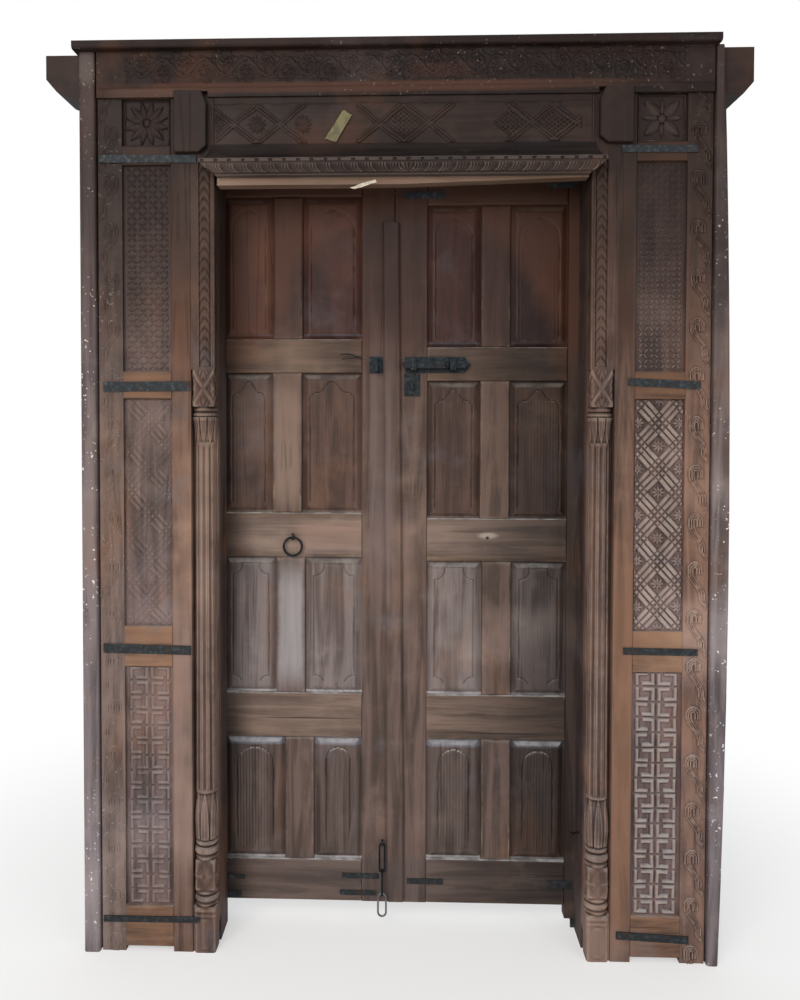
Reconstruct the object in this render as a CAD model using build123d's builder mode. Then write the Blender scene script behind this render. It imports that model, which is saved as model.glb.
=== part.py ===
from build123d import *
from math import atan2, cos, degrees, hypot, radians, sin
import os

# Carved two-leaf door in its carved frame, millimetres, +Z up, front towards -Y
# Depths are measured back from the front faces of the jamb stiles
# Widths on a side are measured out from the centre line of the frame or of the leaf pair
os.makedirs("parts", exist_ok=True)
LEFT, RIGHT = -1, 1
SIDES = {"left": LEFT, "right": RIGHT}

# Overall
HEIGHT = 2400.0
LEFT_HORN_END = 936.0
RIGHT_HORN_END = 901.0
CORNICE_REACH = 62.0
FRAME_X = (LEFT_HORN_END - RIGHT_HORN_END) / 2

# Widths of the jamb, from the opening outwards
OPENING_HALF = 488.0
COLUMN_WIDTH = 64.0
INNER_STILE_WIDTH = 52.0
JAMB_PANEL_WIDTH = 129.0
BORDER_WIDTH = 63.0
GROOVE_WIDTH = 5.0
STRIP_WIDTH = 42.0
COLUMN_OUT = OPENING_HALF + COLUMN_WIDTH
PANEL_IN = COLUMN_OUT + INNER_STILE_WIDTH
PANEL_OUT = PANEL_IN + JAMB_PANEL_WIDTH
BORDER_OUT = PANEL_OUT + BORDER_WIDTH
STRIP_IN = BORDER_OUT + GROOVE_WIDTH

# Depths
STILE_DEPTH = 60.0
GROUND_DEPTH = 14.0
PANEL_BACK = 44.0
RELIEF = 7.0
POST_BACK = 150.0
POST_WIDTH = 90.0
LEAF_GAP = 2.0
LEAF_THICK = 38.0
LEAF_FACE = POST_BACK + LEAF_GAP
LEAF_BACK = LEAF_FACE + LEAF_THICK
BACK_DEPTH = LEAF_BACK + LEAF_GAP
FACE_Y = (CORNICE_REACH - BACK_DEPTH) / 2
STRIP_PROUD = 8.0
STRIP_BACK = 45.0

# Heights of the frame
CAP_THICK = 20.0
CAP_LEFT = 852.0
CAP_RIGHT = 806.0
CAP_REACH = 34.0
LINTEL_HEIGHT = 118.0
LINTEL_FACE = 12.0
LINTEL_TOP = HEIGHT - CAP_THICK
LINTEL_BASE = LINTEL_TOP - LINTEL_HEIGHT
FIELD_BASE = LINTEL_TOP - 87.0
BOARD_PROUD = 12.0
CARVED_FIELD_HALF = 722.0
INNER_HEAD_BASE = LINTEL_BASE - 167.0
FRIEZE_BASE = LINTEL_BASE - 122.0
# Heights below the frieze keep their share of its height when the door is made taller or lower
RISE = FRIEZE_BASE / 2140.0
RAIL_FOOT = 14.0
FRET_RANGE = (123.0 * RISE, 768.0 * RISE)
LATTICE_RANGE = (875.0 * RISE, 1479.0 * RISE)
FLORAL_RANGE = (1550.0 * RISE, FRIEZE_BASE - 50.0)
ROSETTE_BASE = FRIEZE_BASE - 1.0

# Pilaster heads over the columns
PILASTER_IN = OPENING_HALF + 18.0
PILASTER_OUT = PANEL_IN - 14.0
PILASTER_TOP = LINTEL_BASE + 14.0
PILASTER_BASE = {LEFT: FRIEZE_BASE - 22.0, RIGHT: FRIEZE_BASE - 6.0}
PILASTER_PROUD = 20.0
PILASTER_CUT = (20.0, 31.0)
NOTCH_GAP = 4.0

# Straps on the jambs: reach past the panels' inner and outer edges, inner height, outer height, width
STRAP_THICK = 3.0
JAMB_STRAPS = {
    LEFT: ((68, 59, 2104, 2106, 20), (50, 51, 1512, 1510, 26), (50, 55, 813, 817, 24), (71, 59, 90, 88, 16)),
    RIGHT: ((39, 25, 2121, 2119, 18), (18, 37, 1524, 1514, 20), (25, 37, 824, 822, 18), (37, 21, 73, 64, 20)),
}

# Columns
COLUMN_AXIS = OPENING_HALF + 31.0
COLUMN_DEPTH = 27.0
SHAFT_FOOT_R = 27.0
SHAFT_TOP_R = 25.0
RING_R = 30.5
BASE_TOP = 122.0 * RISE
LOW_BLOCK = (167.0 * RISE, 247.0 * RISE)
LOTUS_FOOT = 301.0 * RISE
SHAFT_FOOT = 430.0 * RISE
SHAFT_TOP = 1363.0 * RISE
BELL_TOP = 1430.0 * RISE
CAPITAL = (1457.0 * RISE, 1555.0 * RISE)
FLUTE_R = 4.0
FLUTE_ANGLES = (-64, -32, 0, 32, 64)
BEAD_WIDTH = 8.0
LEAF_BAND = (OPENING_HALF + 12.0, COLUMN_OUT - 20.0)
LEAF_PITCH = 26.0
LEAF_INSET = 1.5
BAND_SINK = 6.0

# Leaves
LEAF_SHIFT = -18.0
SEAM_GAP = 1.0
LEAF_WIDTH = OPENING_HALF + 50.0
PIVOT_R = LEAF_THICK / 2
HINGE_STILE_WIDTH = 60.0
MEETING_STILE_WIDTH = 90.0
MUNTIN_WIDTH = 82.0
LEAF_FOOT = 62.0
LEAF_TOP = INNER_HEAD_BASE - 7.0
# Panel rows of each leaf from the foot up: low edge, high edge, middle of the muntin
LEAF_DRAWN = {
    LEFT: ((180, 528, 266), (654, 1037, 290), (1162, 1553, 300), (1647, 2041, 297)),
    RIGHT: ((187, 527, 285), (653, 1028, 285), (1148, 1531, 278), (1624, 2015, 279)),
}
LEAF_ROWS = {side: [(low * RISE, high * RISE, u) for low, high, u in rows] for side, rows in LEAF_DRAWN.items()}
LEAF_PANEL_SINK = 11.0
LEAF_PANEL_THICK = 20.0
FIELD_RISE = 8.0
FIELD_MARGIN = 13.0
FIELD_BEVEL = 5.0
LEAF_X = FRAME_X + LEAF_SHIFT
PIVOT_U = LEAF_WIDTH - PIVOT_R
PIVOT_DEPTH = LEAF_FACE + PIVOT_R
SHELF_TOP = 26.0
RUNNING_GAP = 0.3
PIN_R = 8.0
PIN_HEIGHT = 22.0
PIN_CLEARANCE = 0.1
TOP_PIN_R = 12.0
TOP_PIN_HEIGHT = 45.0

# Straps on the leaves: from the seam outwards and height of the middle, start, end, width
LEAF_STRAP_THICK = 2.0
LEAF_STRAPS = {
    LEFT: ((421, 466, 127, 12), (430, 466, 78, 18), (41, 145, 136, 14), (49, 151, 88, 14)),
    RIGHT: ((26, 138, 2043, 20), (417, 498, 2070, 20), (38, 139, 124, 16), (430, 498, 122, 22)),
}

# Batten over the seam, leaning a little
BATTEN_WIDTH = 46.0
BATTEN_THICK = 12.0
BATTEN_FOOT_X = 6.0
BATTEN_HEAD_X = -11.0
BATTEN_RANGE = (LEAF_FOOT + 7.0, 1967.0 * RISE)

# Sliding bolt, lock plate and eye plate
BOLT_Z = 1575.0 * RISE
BOLT_PLATE = (30.0, 211.0)
BOLT_PLATE_HEIGHT = 44.0
PLATE_THICK = 3.0
BAR_HEIGHT = 20.0
BAR_THICK = 10.0
BAR_END = 196.0
BAR_TIP = 21.0
BAR_CLEAR = 2.0
BAR_GAP = 0.5
GUIDE_WALL = 5.0
GUIDE_WIDTH = 16.0
GUIDES = (52.0, 160.0)
BOLT_TRAVEL = 75.0
LOCK_PLATE = (27.0, 70.0)
LOCK_PLATE_RANGE = (BOLT_Z - 86.0, BOLT_Z - 25.0)
EYE_PLATE = (24.0, 70.0)
EYE_HEIGHT = 46.0
EYE_CLEAR = 4.0

# Ring pull and chain
RING_U = 283.0
RING_Z = 1069.0 * RISE
RING_MAJOR = 25.5
RING_WIRE = 3.0
RING_SIDES = 24
# An eight-sided wire: half its thickness and its corners as shares of its radius
FLAT = 0.924
WIRE_CORNER = 0.54
LINK_TURN = 8
EYE_R = 5.5
EYE_WIRE = 2.2
EYE_SAG = 1.8
CHAIN_U = 32.0
CHAIN_TOP = 240.0
CHAIN_PLANE = 17.0
CHAIN_WIRE = 2.8
LINK_GAP = 0.1
LINK_SIZES = ((20.0, 86.0), (20.0, 78.0), (28.0, 70.0))


def y_at(depth):
    return FACE_Y + depth


def front(depth):
    return Plane.XZ.offset(-y_at(depth))


def fx(side, across):
    return FRAME_X + side * across


def lx(side, across):
    return LEAF_X + side * across


def slab(x_ends, z_ends, depths, mode=Mode.ADD):
    with BuildSketch(front(depths[1])) as outline:
        with Locations((sum(x_ends) / 2, sum(z_ends) / 2)):
            Rectangle(abs(x_ends[1] - x_ends[0]), z_ends[1] - z_ends[0])
    extrude(outline.sketch, amount=depths[1] - depths[0], mode=mode)


def sheet_of(points, depths, mode=Mode.ADD):
    with BuildSketch(front(depths[1])) as outline:
        with BuildLine():
            Polyline(*points, close=True)
        make_face()
    extrude(outline.sketch, amount=depths[1] - depths[0], mode=mode)


def ribbon(points, shift):
    near = [(x - shift[0], z - shift[1]) for x, z in points]
    far = [(x + shift[0], z + shift[1]) for x, z in reversed(points)]
    with BuildLine() as outline:
        Polyline(*near, *far, close=True)
    return outline.edges()


def save(name, piece):
    piece.part.label = name
    export_step(piece.part, f"parts/{name}.step")


# Head of the frame

def make_cap():
    with BuildPart() as cap_moulding:
        with BuildSketch(Plane.YZ.offset(FRAME_X - CAP_LEFT)) as section:
            with Locations((y_at((STILE_DEPTH - CAP_REACH) / 2), LINTEL_TOP + CAP_THICK / 2)):
                Rectangle(STILE_DEPTH + CAP_REACH, CAP_THICK)
            fillet(section.vertices().group_by(Axis.Y)[0], CAP_THICK * 0.4)
        extrude(amount=CAP_LEFT + CAP_RIGHT)
    return cap_moulding


SCROLL_COUNT = 12
SCROLL_SWING = 26.0
SCROLL_WIDTH = 8.0
SCROLL_RISE = 4.0
SCROLL_LEAF_R = 17.0


def make_head_board():
    middle = (FIELD_BASE + LINTEL_TOP) / 2
    pitch = 2 * CARVED_FIELD_HALF / SCROLL_COUNT
    stem, leaves = [(FRAME_X - CARVED_FIELD_HALF, middle)], []
    for n in range(SCROLL_COUNT):
        x = FRAME_X - CARVED_FIELD_HALF + n * pitch
        swing = SCROLL_SWING if n % 2 else -SCROLL_SWING
        stem += [(x + pitch * 0.3, middle + swing), (x + pitch * 0.7, middle + swing), (x + pitch, middle)]
        leaves.append((x + pitch / 2, middle - swing * 0.5))
    with BuildPart() as head_board:
        slab((FRAME_X - BORDER_OUT, FRAME_X + BORDER_OUT), (LINTEL_BASE, LINTEL_TOP), (-BOARD_PROUD, LINTEL_FACE))
        with BuildSketch(front(-BOARD_PROUD)) as ground:
            with Locations((FRAME_X, middle)):
                Rectangle(2 * CARVED_FIELD_HALF, LINTEL_TOP - FIELD_BASE - SCROLL_WIDTH)
            make_face(ribbon(stem, (0, SCROLL_WIDTH / 2)), mode=Mode.SUBTRACT)
            with Locations(*leaves):
                RegularPolygon(SCROLL_LEAF_R, 6, mode=Mode.SUBTRACT)
        extrude(ground.sketch, amount=-SCROLL_RISE, mode=Mode.SUBTRACT)
        for side in SIDES.values():
            ends = sorted((fx(side, PILASTER_IN - NOTCH_GAP / 2), fx(side, PILASTER_OUT + NOTCH_GAP / 2)))
            slab(ends, (LINTEL_BASE, PILASTER_TOP + NOTCH_GAP), (-BOARD_PROUD, LINTEL_FACE), Mode.SUBTRACT)
    return head_board


HORN_BREAK = (88.0, 56.0)
HORN_CHAMFER = (26.0, 30.0)


def make_rear_lintel():
    left_end = FRAME_X - LEFT_HORN_END
    right_end = FRAME_X + RIGHT_HORN_END
    with BuildPart() as rear_lintel:
        slab((left_end, right_end), (LINTEL_BASE, LINTEL_TOP), (LINTEL_FACE, POST_BACK))
        sheet_of([(left_end, LINTEL_BASE), (left_end + HORN_BREAK[0], LINTEL_BASE),
                  (left_end + HORN_BREAK[0] * 0.3, LINTEL_BASE + HORN_BREAK[1] * 0.45),
                  (left_end, LINTEL_BASE + HORN_BREAK[1])],
                 (LINTEL_FACE, POST_BACK), Mode.SUBTRACT)
        sheet_of([(right_end, LINTEL_BASE), (right_end, LINTEL_BASE + HORN_CHAMFER[1]),
                  (right_end - HORN_CHAMFER[0], LINTEL_BASE)],
                 (LINTEL_FACE, POST_BACK), Mode.SUBTRACT)
    return rear_lintel


def make_inner_head():
    outer = OPENING_HALF + POST_WIDTH
    with BuildPart() as inner_head:
        slab((FRAME_X - OPENING_HALF, FRAME_X + OPENING_HALF), (INNER_HEAD_BASE, LINTEL_BASE),
             (FRIEZE_THICK, POST_BACK))
        slab((FRAME_X - outer, FRAME_X + outer), (INNER_HEAD_BASE, LINTEL_BASE), (POST_BACK, BACK_DEPTH))
        for side in SIDES.values():
            with Locations((lx(side, PIVOT_U), y_at(PIVOT_DEPTH), INNER_HEAD_BASE)):
                Cylinder(TOP_PIN_R + PIN_CLEARANCE, TOP_PIN_HEIGHT, align=(Align.CENTER, Align.CENTER, Align.MIN),
                         mode=Mode.SUBTRACT)
    return inner_head


FRIEZE_THICK = 25.0
FRIEZE_FIELD = (FRIEZE_BASE + 6.0, FRIEZE_BASE + 100.0)
RIBBON_RISE = 4.0
RIBBON_LINE = 4.5
RIBBON_SPREAD = 11.0
RAY_LENGTH = 46.0
RAY_WIDTH = 5.0
# Groups of the lozenge chain: left end, right end, crossings, rosettes
LOZENGE_GROUPS = (
    (-484, -206, (-438, -316), (-377, -256)),
    (-116, 138, (-58, 70), (6,)),
    (222, 461, (337, 449), (281, 395)),
)
LOZENGE_PITCH = 122.0


def make_frieze_board():
    low, high = FRIEZE_FIELD
    middle, tall = (low + high) / 2, high - low
    slant = degrees(atan2(tall, LOZENGE_PITCH))
    with BuildPart() as frieze_board:
        slab((FRAME_X - OPENING_HALF, FRAME_X + OPENING_HALF), (FRIEZE_BASE, LINTEL_BASE), (0, FRIEZE_THICK))
        for start, end, crossings, rosettes in LOZENGE_GROUPS:
            places = [Location((FRAME_X + x, middle), turn) for x in crossings for turn in (slant, -slant)]
            rays = [Location((FRAME_X + x, middle), turn) for x in rosettes for turn in (0, 90)]
            with BuildSketch(front(0)) as chain:
                with Locations(*places):
                    with GridLocations(1, RIBBON_SPREAD, 1, 2):
                        Rectangle(hypot(tall, LOZENGE_PITCH), RIBBON_LINE)
                with Locations(*rays):
                    Rectangle(RAY_LENGTH, RAY_WIDTH)
                with Locations((FRAME_X + (start + end) / 2, middle)):
                    Rectangle(end - start, tall, mode=Mode.INTERSECT)
            extrude(chain.sketch, amount=RIBBON_RISE)
    return frieze_board


CORNICE_HALF = OPENING_HALF + 28.0
CORNICE_TOP_HALF = CORNICE_HALF - 18.0
CORNICE_FOOT_HALF = CORNICE_HALF - 38.0
CORNICE_TOP = FRIEZE_BASE
CORNICE_FOOT = FRIEZE_BASE - 90.0
LIP_RANGE = (CORNICE_FOOT + 30.0, CORNICE_FOOT + 37.0)
# Hollow above the lip: depth in front of the frieze and height above the lip
HOLLOW = ((58.0, 3.0), (36.0, 12.0), (16.0, 27.0))
GADROON_PITCH = 35.4
GADROON_CENTRE = 14.0
GADROON_LEAN = 12.0
GADROON_FOOT = (36.0, 5.0)
GADROON_TOP = 57.0
GADROON_RISE = 4.5
GADROON_SHARE = 0.84
GADROON_START = 0.56
GADROON_TAPER = 20.0
GADROON_MARGIN = 2.0
GADROON_DROP = 1.0
NOTCH_DEPTH = 3.0
PALMETTE_R = 12.0
NOTCH_WIDTH = 3.0


def make_cornice():
    lip_low, lip_high = LIP_RANGE
    foot_depth, foot_rise = GADROON_FOOT
    band_high, band_low = lip_low - GADROON_DROP, CORNICE_FOOT + foot_rise
    slope = (GADROON_TOP - foot_depth, band_high - band_low)
    length = hypot(*slope)
    with BuildPart() as cornice:
        with BuildSketch(Plane.YZ.offset(FRAME_X - CORNICE_HALF)) as section:
            with BuildLine():
                Polyline((y_at(0), CORNICE_TOP),
                         *[(y_at(-depth), lip_high + rise) for depth, rise in reversed(HOLLOW)],
                         (y_at(-CORNICE_REACH), lip_high), (y_at(-CORNICE_REACH), lip_low),
                         (y_at(-GADROON_TOP), band_high), (y_at(-foot_depth), band_low),
                         (y_at(-foot_depth), CORNICE_FOOT), (y_at(0), CORNICE_FOOT), close=True)
            make_face()
        extrude(section.sketch, amount=2 * CORNICE_HALF)
        middle = (FRAME_X + GADROON_CENTRE, y_at(-(GADROON_TOP + foot_depth) / 2), (band_high + band_low) / 2)
        band = Plane(origin=middle, x_dir=(1, 0, 0), z_dir=(0, -slope[1], -slope[0]))
        count = int(CORNICE_FOOT_HALF / GADROON_PITCH)
        half = length / 2 - GADROON_MARGIN
        with BuildSketch(band) as lobes:
            for side in SIDES.values():
                for n in range(count):
                    near = side * (n + GADROON_START) * GADROON_PITCH
                    far = near + side * GADROON_PITCH * GADROON_SHARE
                    Polygon((near, -half), (far, -half), (far + side * GADROON_LEAN, half),
                            (near + side * GADROON_LEAN, half), align=None)
            RegularPolygon(PALMETTE_R, 6)
        extrude(lobes.sketch, amount=GADROON_RISE, taper=GADROON_TAPER)
        for side in SIDES.values():
            sheet_of([(fx(side, CORNICE_HALF), lip_low), (fx(side, CORNICE_TOP_HALF), band_low),
                      (fx(side, CORNICE_FOOT_HALF), CORNICE_FOOT), (fx(side, CORNICE_HALF), CORNICE_FOOT)],
                     (-CORNICE_REACH - GADROON_RISE, 0), Mode.SUBTRACT)
            sheet_of([(fx(side, CORNICE_HALF), lip_high), (fx(side, CORNICE_HALF), CORNICE_TOP),
                      (fx(side, CORNICE_TOP_HALF), CORNICE_TOP)], (-CORNICE_REACH, 0), Mode.SUBTRACT)
            slab(sorted((fx(side, PILASTER_IN), fx(side, CORNICE_HALF))), (CORNICE_FOOT, CORNICE_TOP),
                 (-PILASTER_PROUD, 0), Mode.SUBTRACT)
        with BuildSketch(front(-CORNICE_REACH)) as notches:
            with Locations((FRAME_X, (lip_low + lip_high) / 2)):
                with GridLocations(GADROON_PITCH, 1, 2 * count, 1):
                    Rectangle(NOTCH_WIDTH, lip_high - lip_low)
        extrude(notches.sketch, amount=-NOTCH_DEPTH, mode=Mode.SUBTRACT)
    return cornice


SOFFIT_LEFT_DROP = 19.0
SOFFIT_RIGHT_DROP = 4.0
SOFFIT_PROUD = 16.0


def make_soffit_strip():
    ends = (FRAME_X - CORNICE_FOOT_HALF, FRAME_X + CORNICE_FOOT_HALF)
    with BuildPart() as soffit_strip:
        sheet_of([(ends[0], CORNICE_FOOT), (ends[0], CORNICE_FOOT - SOFFIT_LEFT_DROP),
                  (FRAME_X, CORNICE_FOOT - SOFFIT_LEFT_DROP), (ends[1], CORNICE_FOOT - SOFFIT_RIGHT_DROP),
                  (ends[1], CORNICE_FOOT)], (-SOFFIT_PROUD, FRIEZE_THICK))
        slab(ends, (CORNICE_FOOT, FRIEZE_BASE), (0, FRIEZE_THICK))
    return soffit_strip


# Jambs

def make_pilaster_head(side):
    inner, outer = fx(side, PILASTER_IN), fx(side, PILASTER_OUT)
    cut, drop = side * PILASTER_CUT[0], PILASTER_CUT[1]
    base = PILASTER_BASE[side]
    with BuildPart() as pilaster_head:
        sheet_of([(outer, base), (inner + cut, base), (inner, base + drop / 2), (inner, PILASTER_TOP - drop),
                  (inner + cut * 0.7, PILASTER_TOP), (outer, PILASTER_TOP)], (-PILASTER_PROUD, 0))
        chamfer(pilaster_head.faces().sort_by(Axis.Y)[0].edges(), 2)
    return pilaster_head


WAVE_PITCH = 126.0
WAVE_SWING = 15.0
WAVE_CUT = 2.5
WAVE_WIDTH = 8.0


def wave_line(side, low, high):
    centre = fx(side, PANEL_OUT + BORDER_WIDTH / 2)
    half = WAVE_PITCH / 2
    points = []
    for n in range(int((high - low) / half)):
        swing = WAVE_SWING if n % 2 else -WAVE_SWING
        z = low + n * half
        points += [(centre + swing, z + half * 0.25), (centre + swing, z + half * 0.75)]
    return points


def make_border_stile(side):
    with BuildPart() as border_stile:
        slab(sorted((fx(side, PANEL_OUT), fx(side, BORDER_OUT))), (0, LINTEL_BASE), (0, STILE_DEPTH))
        slab(sorted((fx(side, BORDER_OUT), fx(side, STRIP_IN))), (0, LINTEL_BASE), (GROUND_DEPTH, STILE_DEPTH))
        with BuildSketch(front(0)) as wave:
            make_face(ribbon(wave_line(side, 30, LINTEL_BASE), (WAVE_WIDTH / 2, 0)))
        extrude(wave.sketch, amount=-WAVE_CUT, mode=Mode.SUBTRACT)
    return border_stile


def make_inner_stile(side):
    with BuildPart() as inner_stile:
        slab(sorted((fx(side, COLUMN_OUT), fx(side, PANEL_IN))), (0, LINTEL_BASE), (0, STILE_DEPTH))
        chamfer(inner_stile.faces().sort_by(Axis.Y)[0].edges().filter_by(Axis.Z), 2)
    return inner_stile


def make_jamb_rails(side):
    ends = sorted((fx(side, PANEL_IN), fx(side, PANEL_OUT)))
    spans = ((RAIL_FOOT, FRET_RANGE[0]), (FRET_RANGE[1], LATTICE_RANGE[0]),
             (LATTICE_RANGE[1], FLORAL_RANGE[0]), (FLORAL_RANGE[1], ROSETTE_BASE))
    with BuildPart() as jamb_rails:
        for span in spans:
            slab(ends, span, (0, STILE_DEPTH))
    return jamb_rails


STRIP_TOP_RIGHT = 20.0
STRIP_MIDDLE_RIGHT = 45.0
STRIP_FOOT_RIGHT = 29.0
STRIP_ROUND = 7.0


def make_edge_strip(side):
    inner = fx(side, STRIP_IN)
    foot, middle, top = STRIP_WIDTH, STRIP_WIDTH, STRIP_WIDTH
    if side == RIGHT:
        foot, middle, top = STRIP_FOOT_RIGHT, STRIP_MIDDLE_RIGHT, STRIP_TOP_RIGHT
    with BuildPart() as edge_strip:
        with BuildSketch(front(STRIP_BACK)) as outline:
            with BuildLine():
                if side == RIGHT:
                    ThreePointArc((inner + foot, 0), (inner + middle, LINTEL_TOP * 0.55), (inner + top, LINTEL_TOP))
                else:
                    Line((inner - foot, 0), (inner - top, LINTEL_TOP))
                Polyline((inner + side * foot, 0), (inner, 0), (inner, LINTEL_TOP), (inner + side * top, LINTEL_TOP))
            make_face()
        extrude(outline.sketch, amount=STRIP_BACK + STRIP_PROUD)
        front_edges = edge_strip.faces().sort_by(Axis.Y)[0].edges()
        fillet(front_edges.filter_by(lambda edge: edge.length > HEIGHT / 2), STRIP_ROUND)
        slab(sorted((inner - side, inner + side * 2 * STRIP_WIDTH)), (LINTEL_BASE, LINTEL_TOP),
             (LINTEL_FACE, STRIP_BACK), Mode.SUBTRACT)
    return edge_strip


def make_rear_post(side):
    with BuildPart() as rear_post:
        slab(sorted((fx(side, OPENING_HALF), fx(side, OPENING_HALF + POST_WIDTH))), (0, LINTEL_BASE),
             (STILE_DEPTH, POST_BACK))
    return rear_post


def make_jamb_straps():
    with BuildPart() as jamb_straps:
        for side, straps in JAMB_STRAPS.items():
            for inner_reach, outer_reach, inner_drawn, outer_drawn, width in straps:
                inner, outer = PANEL_IN - inner_reach, PANEL_OUT + outer_reach
                inner_z, outer_z = inner_drawn * RISE, outer_drawn * RISE
                sheet_of([(fx(side, inner), inner_z - width / 2), (fx(side, outer), outer_z - width / 2),
                          (fx(side, outer), outer_z + width / 2), (fx(side, inner), inner_z + width / 2)],
                         (-STRAP_THICK, 0))
    return jamb_straps


# Carved jamb panels

def panel_ground(side, z_ends):
    slab(sorted((fx(side, PANEL_IN), fx(side, PANEL_OUT))), z_ends, (GROUND_DEPTH, PANEL_BACK))


PETALS = {LEFT: 12, RIGHT: 8}
ROSETTE_R = 52.0
ROSETTE_BOSS = 13.0


def make_rosette_panel(side):
    centre = (fx(side, (PANEL_IN + PANEL_OUT) / 2), (ROSETTE_BASE + LINTEL_BASE) / 2)
    count = PETALS[side]
    with BuildPart() as rosette_panel:
        panel_ground(side, (ROSETTE_BASE, LINTEL_BASE))
        with BuildSketch(front(GROUND_DEPTH)) as petals:
            with Locations(centre):
                with PolarLocations(ROSETTE_BOSS + 1, count):
                    half = ROSETTE_R * 2.2 / count
                    Polygon((0, 0), (ROSETTE_R * 0.45, -half), (ROSETTE_R * 0.66, 0), (ROSETTE_R * 0.45, half),
                            align=None)
                RegularPolygon(ROSETTE_BOSS, 10)
        extrude(petals.sketch, amount=RELIEF)
    return rosette_panel


FLOWER_COLUMNS = 3
FLOWER_ROWS = 13
FLOWER_R = 19.0


def make_floral_panel(side):
    low, high = FLORAL_RANGE
    pitch = (high - low) / FLOWER_ROWS
    with BuildPart() as floral_panel:
        panel_ground(side, FLORAL_RANGE)
        with BuildSketch(front(GROUND_DEPTH)) as flowers:
            with Locations((fx(side, (PANEL_IN + PANEL_OUT) / 2), (low + high) / 2)):
                with GridLocations(pitch, pitch, FLOWER_COLUMNS, FLOWER_ROWS):
                    RegularPolygon(FLOWER_R, 4)
        extrude(flowers.sketch, amount=RELIEF)
    return floral_panel


CROSSINGS = 5
REED_WIDTH = 9.0
REED_PITCH = 15.0


def make_lattice_panel(side):
    low, high = LATTICE_RANGE
    pitch = (high - low) / CROSSINGS
    slant = degrees(atan2(pitch, JAMB_PANEL_WIDTH))
    centre = fx(side, (PANEL_IN + PANEL_OUT) / 2)
    places = [Location((centre, low + (n + 0.5) * pitch), turn) for n in range(CROSSINGS) for turn in (slant, -slant)]
    with BuildPart() as lattice_panel:
        panel_ground(side, LATTICE_RANGE)
        with BuildSketch(front(GROUND_DEPTH)) as reeds:
            with Locations(*places):
                with GridLocations(1, REED_PITCH, 1, 2):
                    Rectangle(hypot(pitch, JAMB_PANEL_WIDTH), REED_WIDTH)
            with Locations((centre, (low + high) / 2)):
                Rectangle(JAMB_PANEL_WIDTH, high - low, mode=Mode.INTERSECT)
        extrude(reeds.sketch, amount=RELIEF)
    return lattice_panel


FRET_ROWS = 16
FRET_BAR = 9.0
FRET_GAP = 7.0


def make_fret_panel(side):
    low, high = FRET_RANGE
    pitch = (high - low) / FRET_ROWS
    reach = JAMB_PANEL_WIDTH / 2 - 2 * FRET_GAP
    tall = pitch - FRET_GAP
    centre = fx(side, (PANEL_IN + PANEL_OUT) / 2)
    with BuildPart() as fret_panel:
        panel_ground(side, FRET_RANGE)
        with BuildSketch(front(GROUND_DEPTH)) as keys:
            for hand in (LEFT, RIGHT):
                for step in (0, 1):
                    turned = -hand if step else hand
                    edge = centre + hand * (FRET_GAP + step * reach)
                    with Locations(*[(edge, low + (n + 0.1) * pitch) for n in range(step, FRET_ROWS, 2)]):
                        Polygon((0, 0), (turned * reach, 0), (turned * reach, FRET_BAR), (turned * FRET_BAR, FRET_BAR),
                                (turned * FRET_BAR, tall), (0, tall), align=None)
                        with Locations((turned * reach * 0.72, tall - FRET_BAR / 2)):
                            Rectangle(reach * 0.56, FRET_BAR)
        extrude(keys.sketch, amount=RELIEF)
    return fret_panel


# Columns

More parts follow.
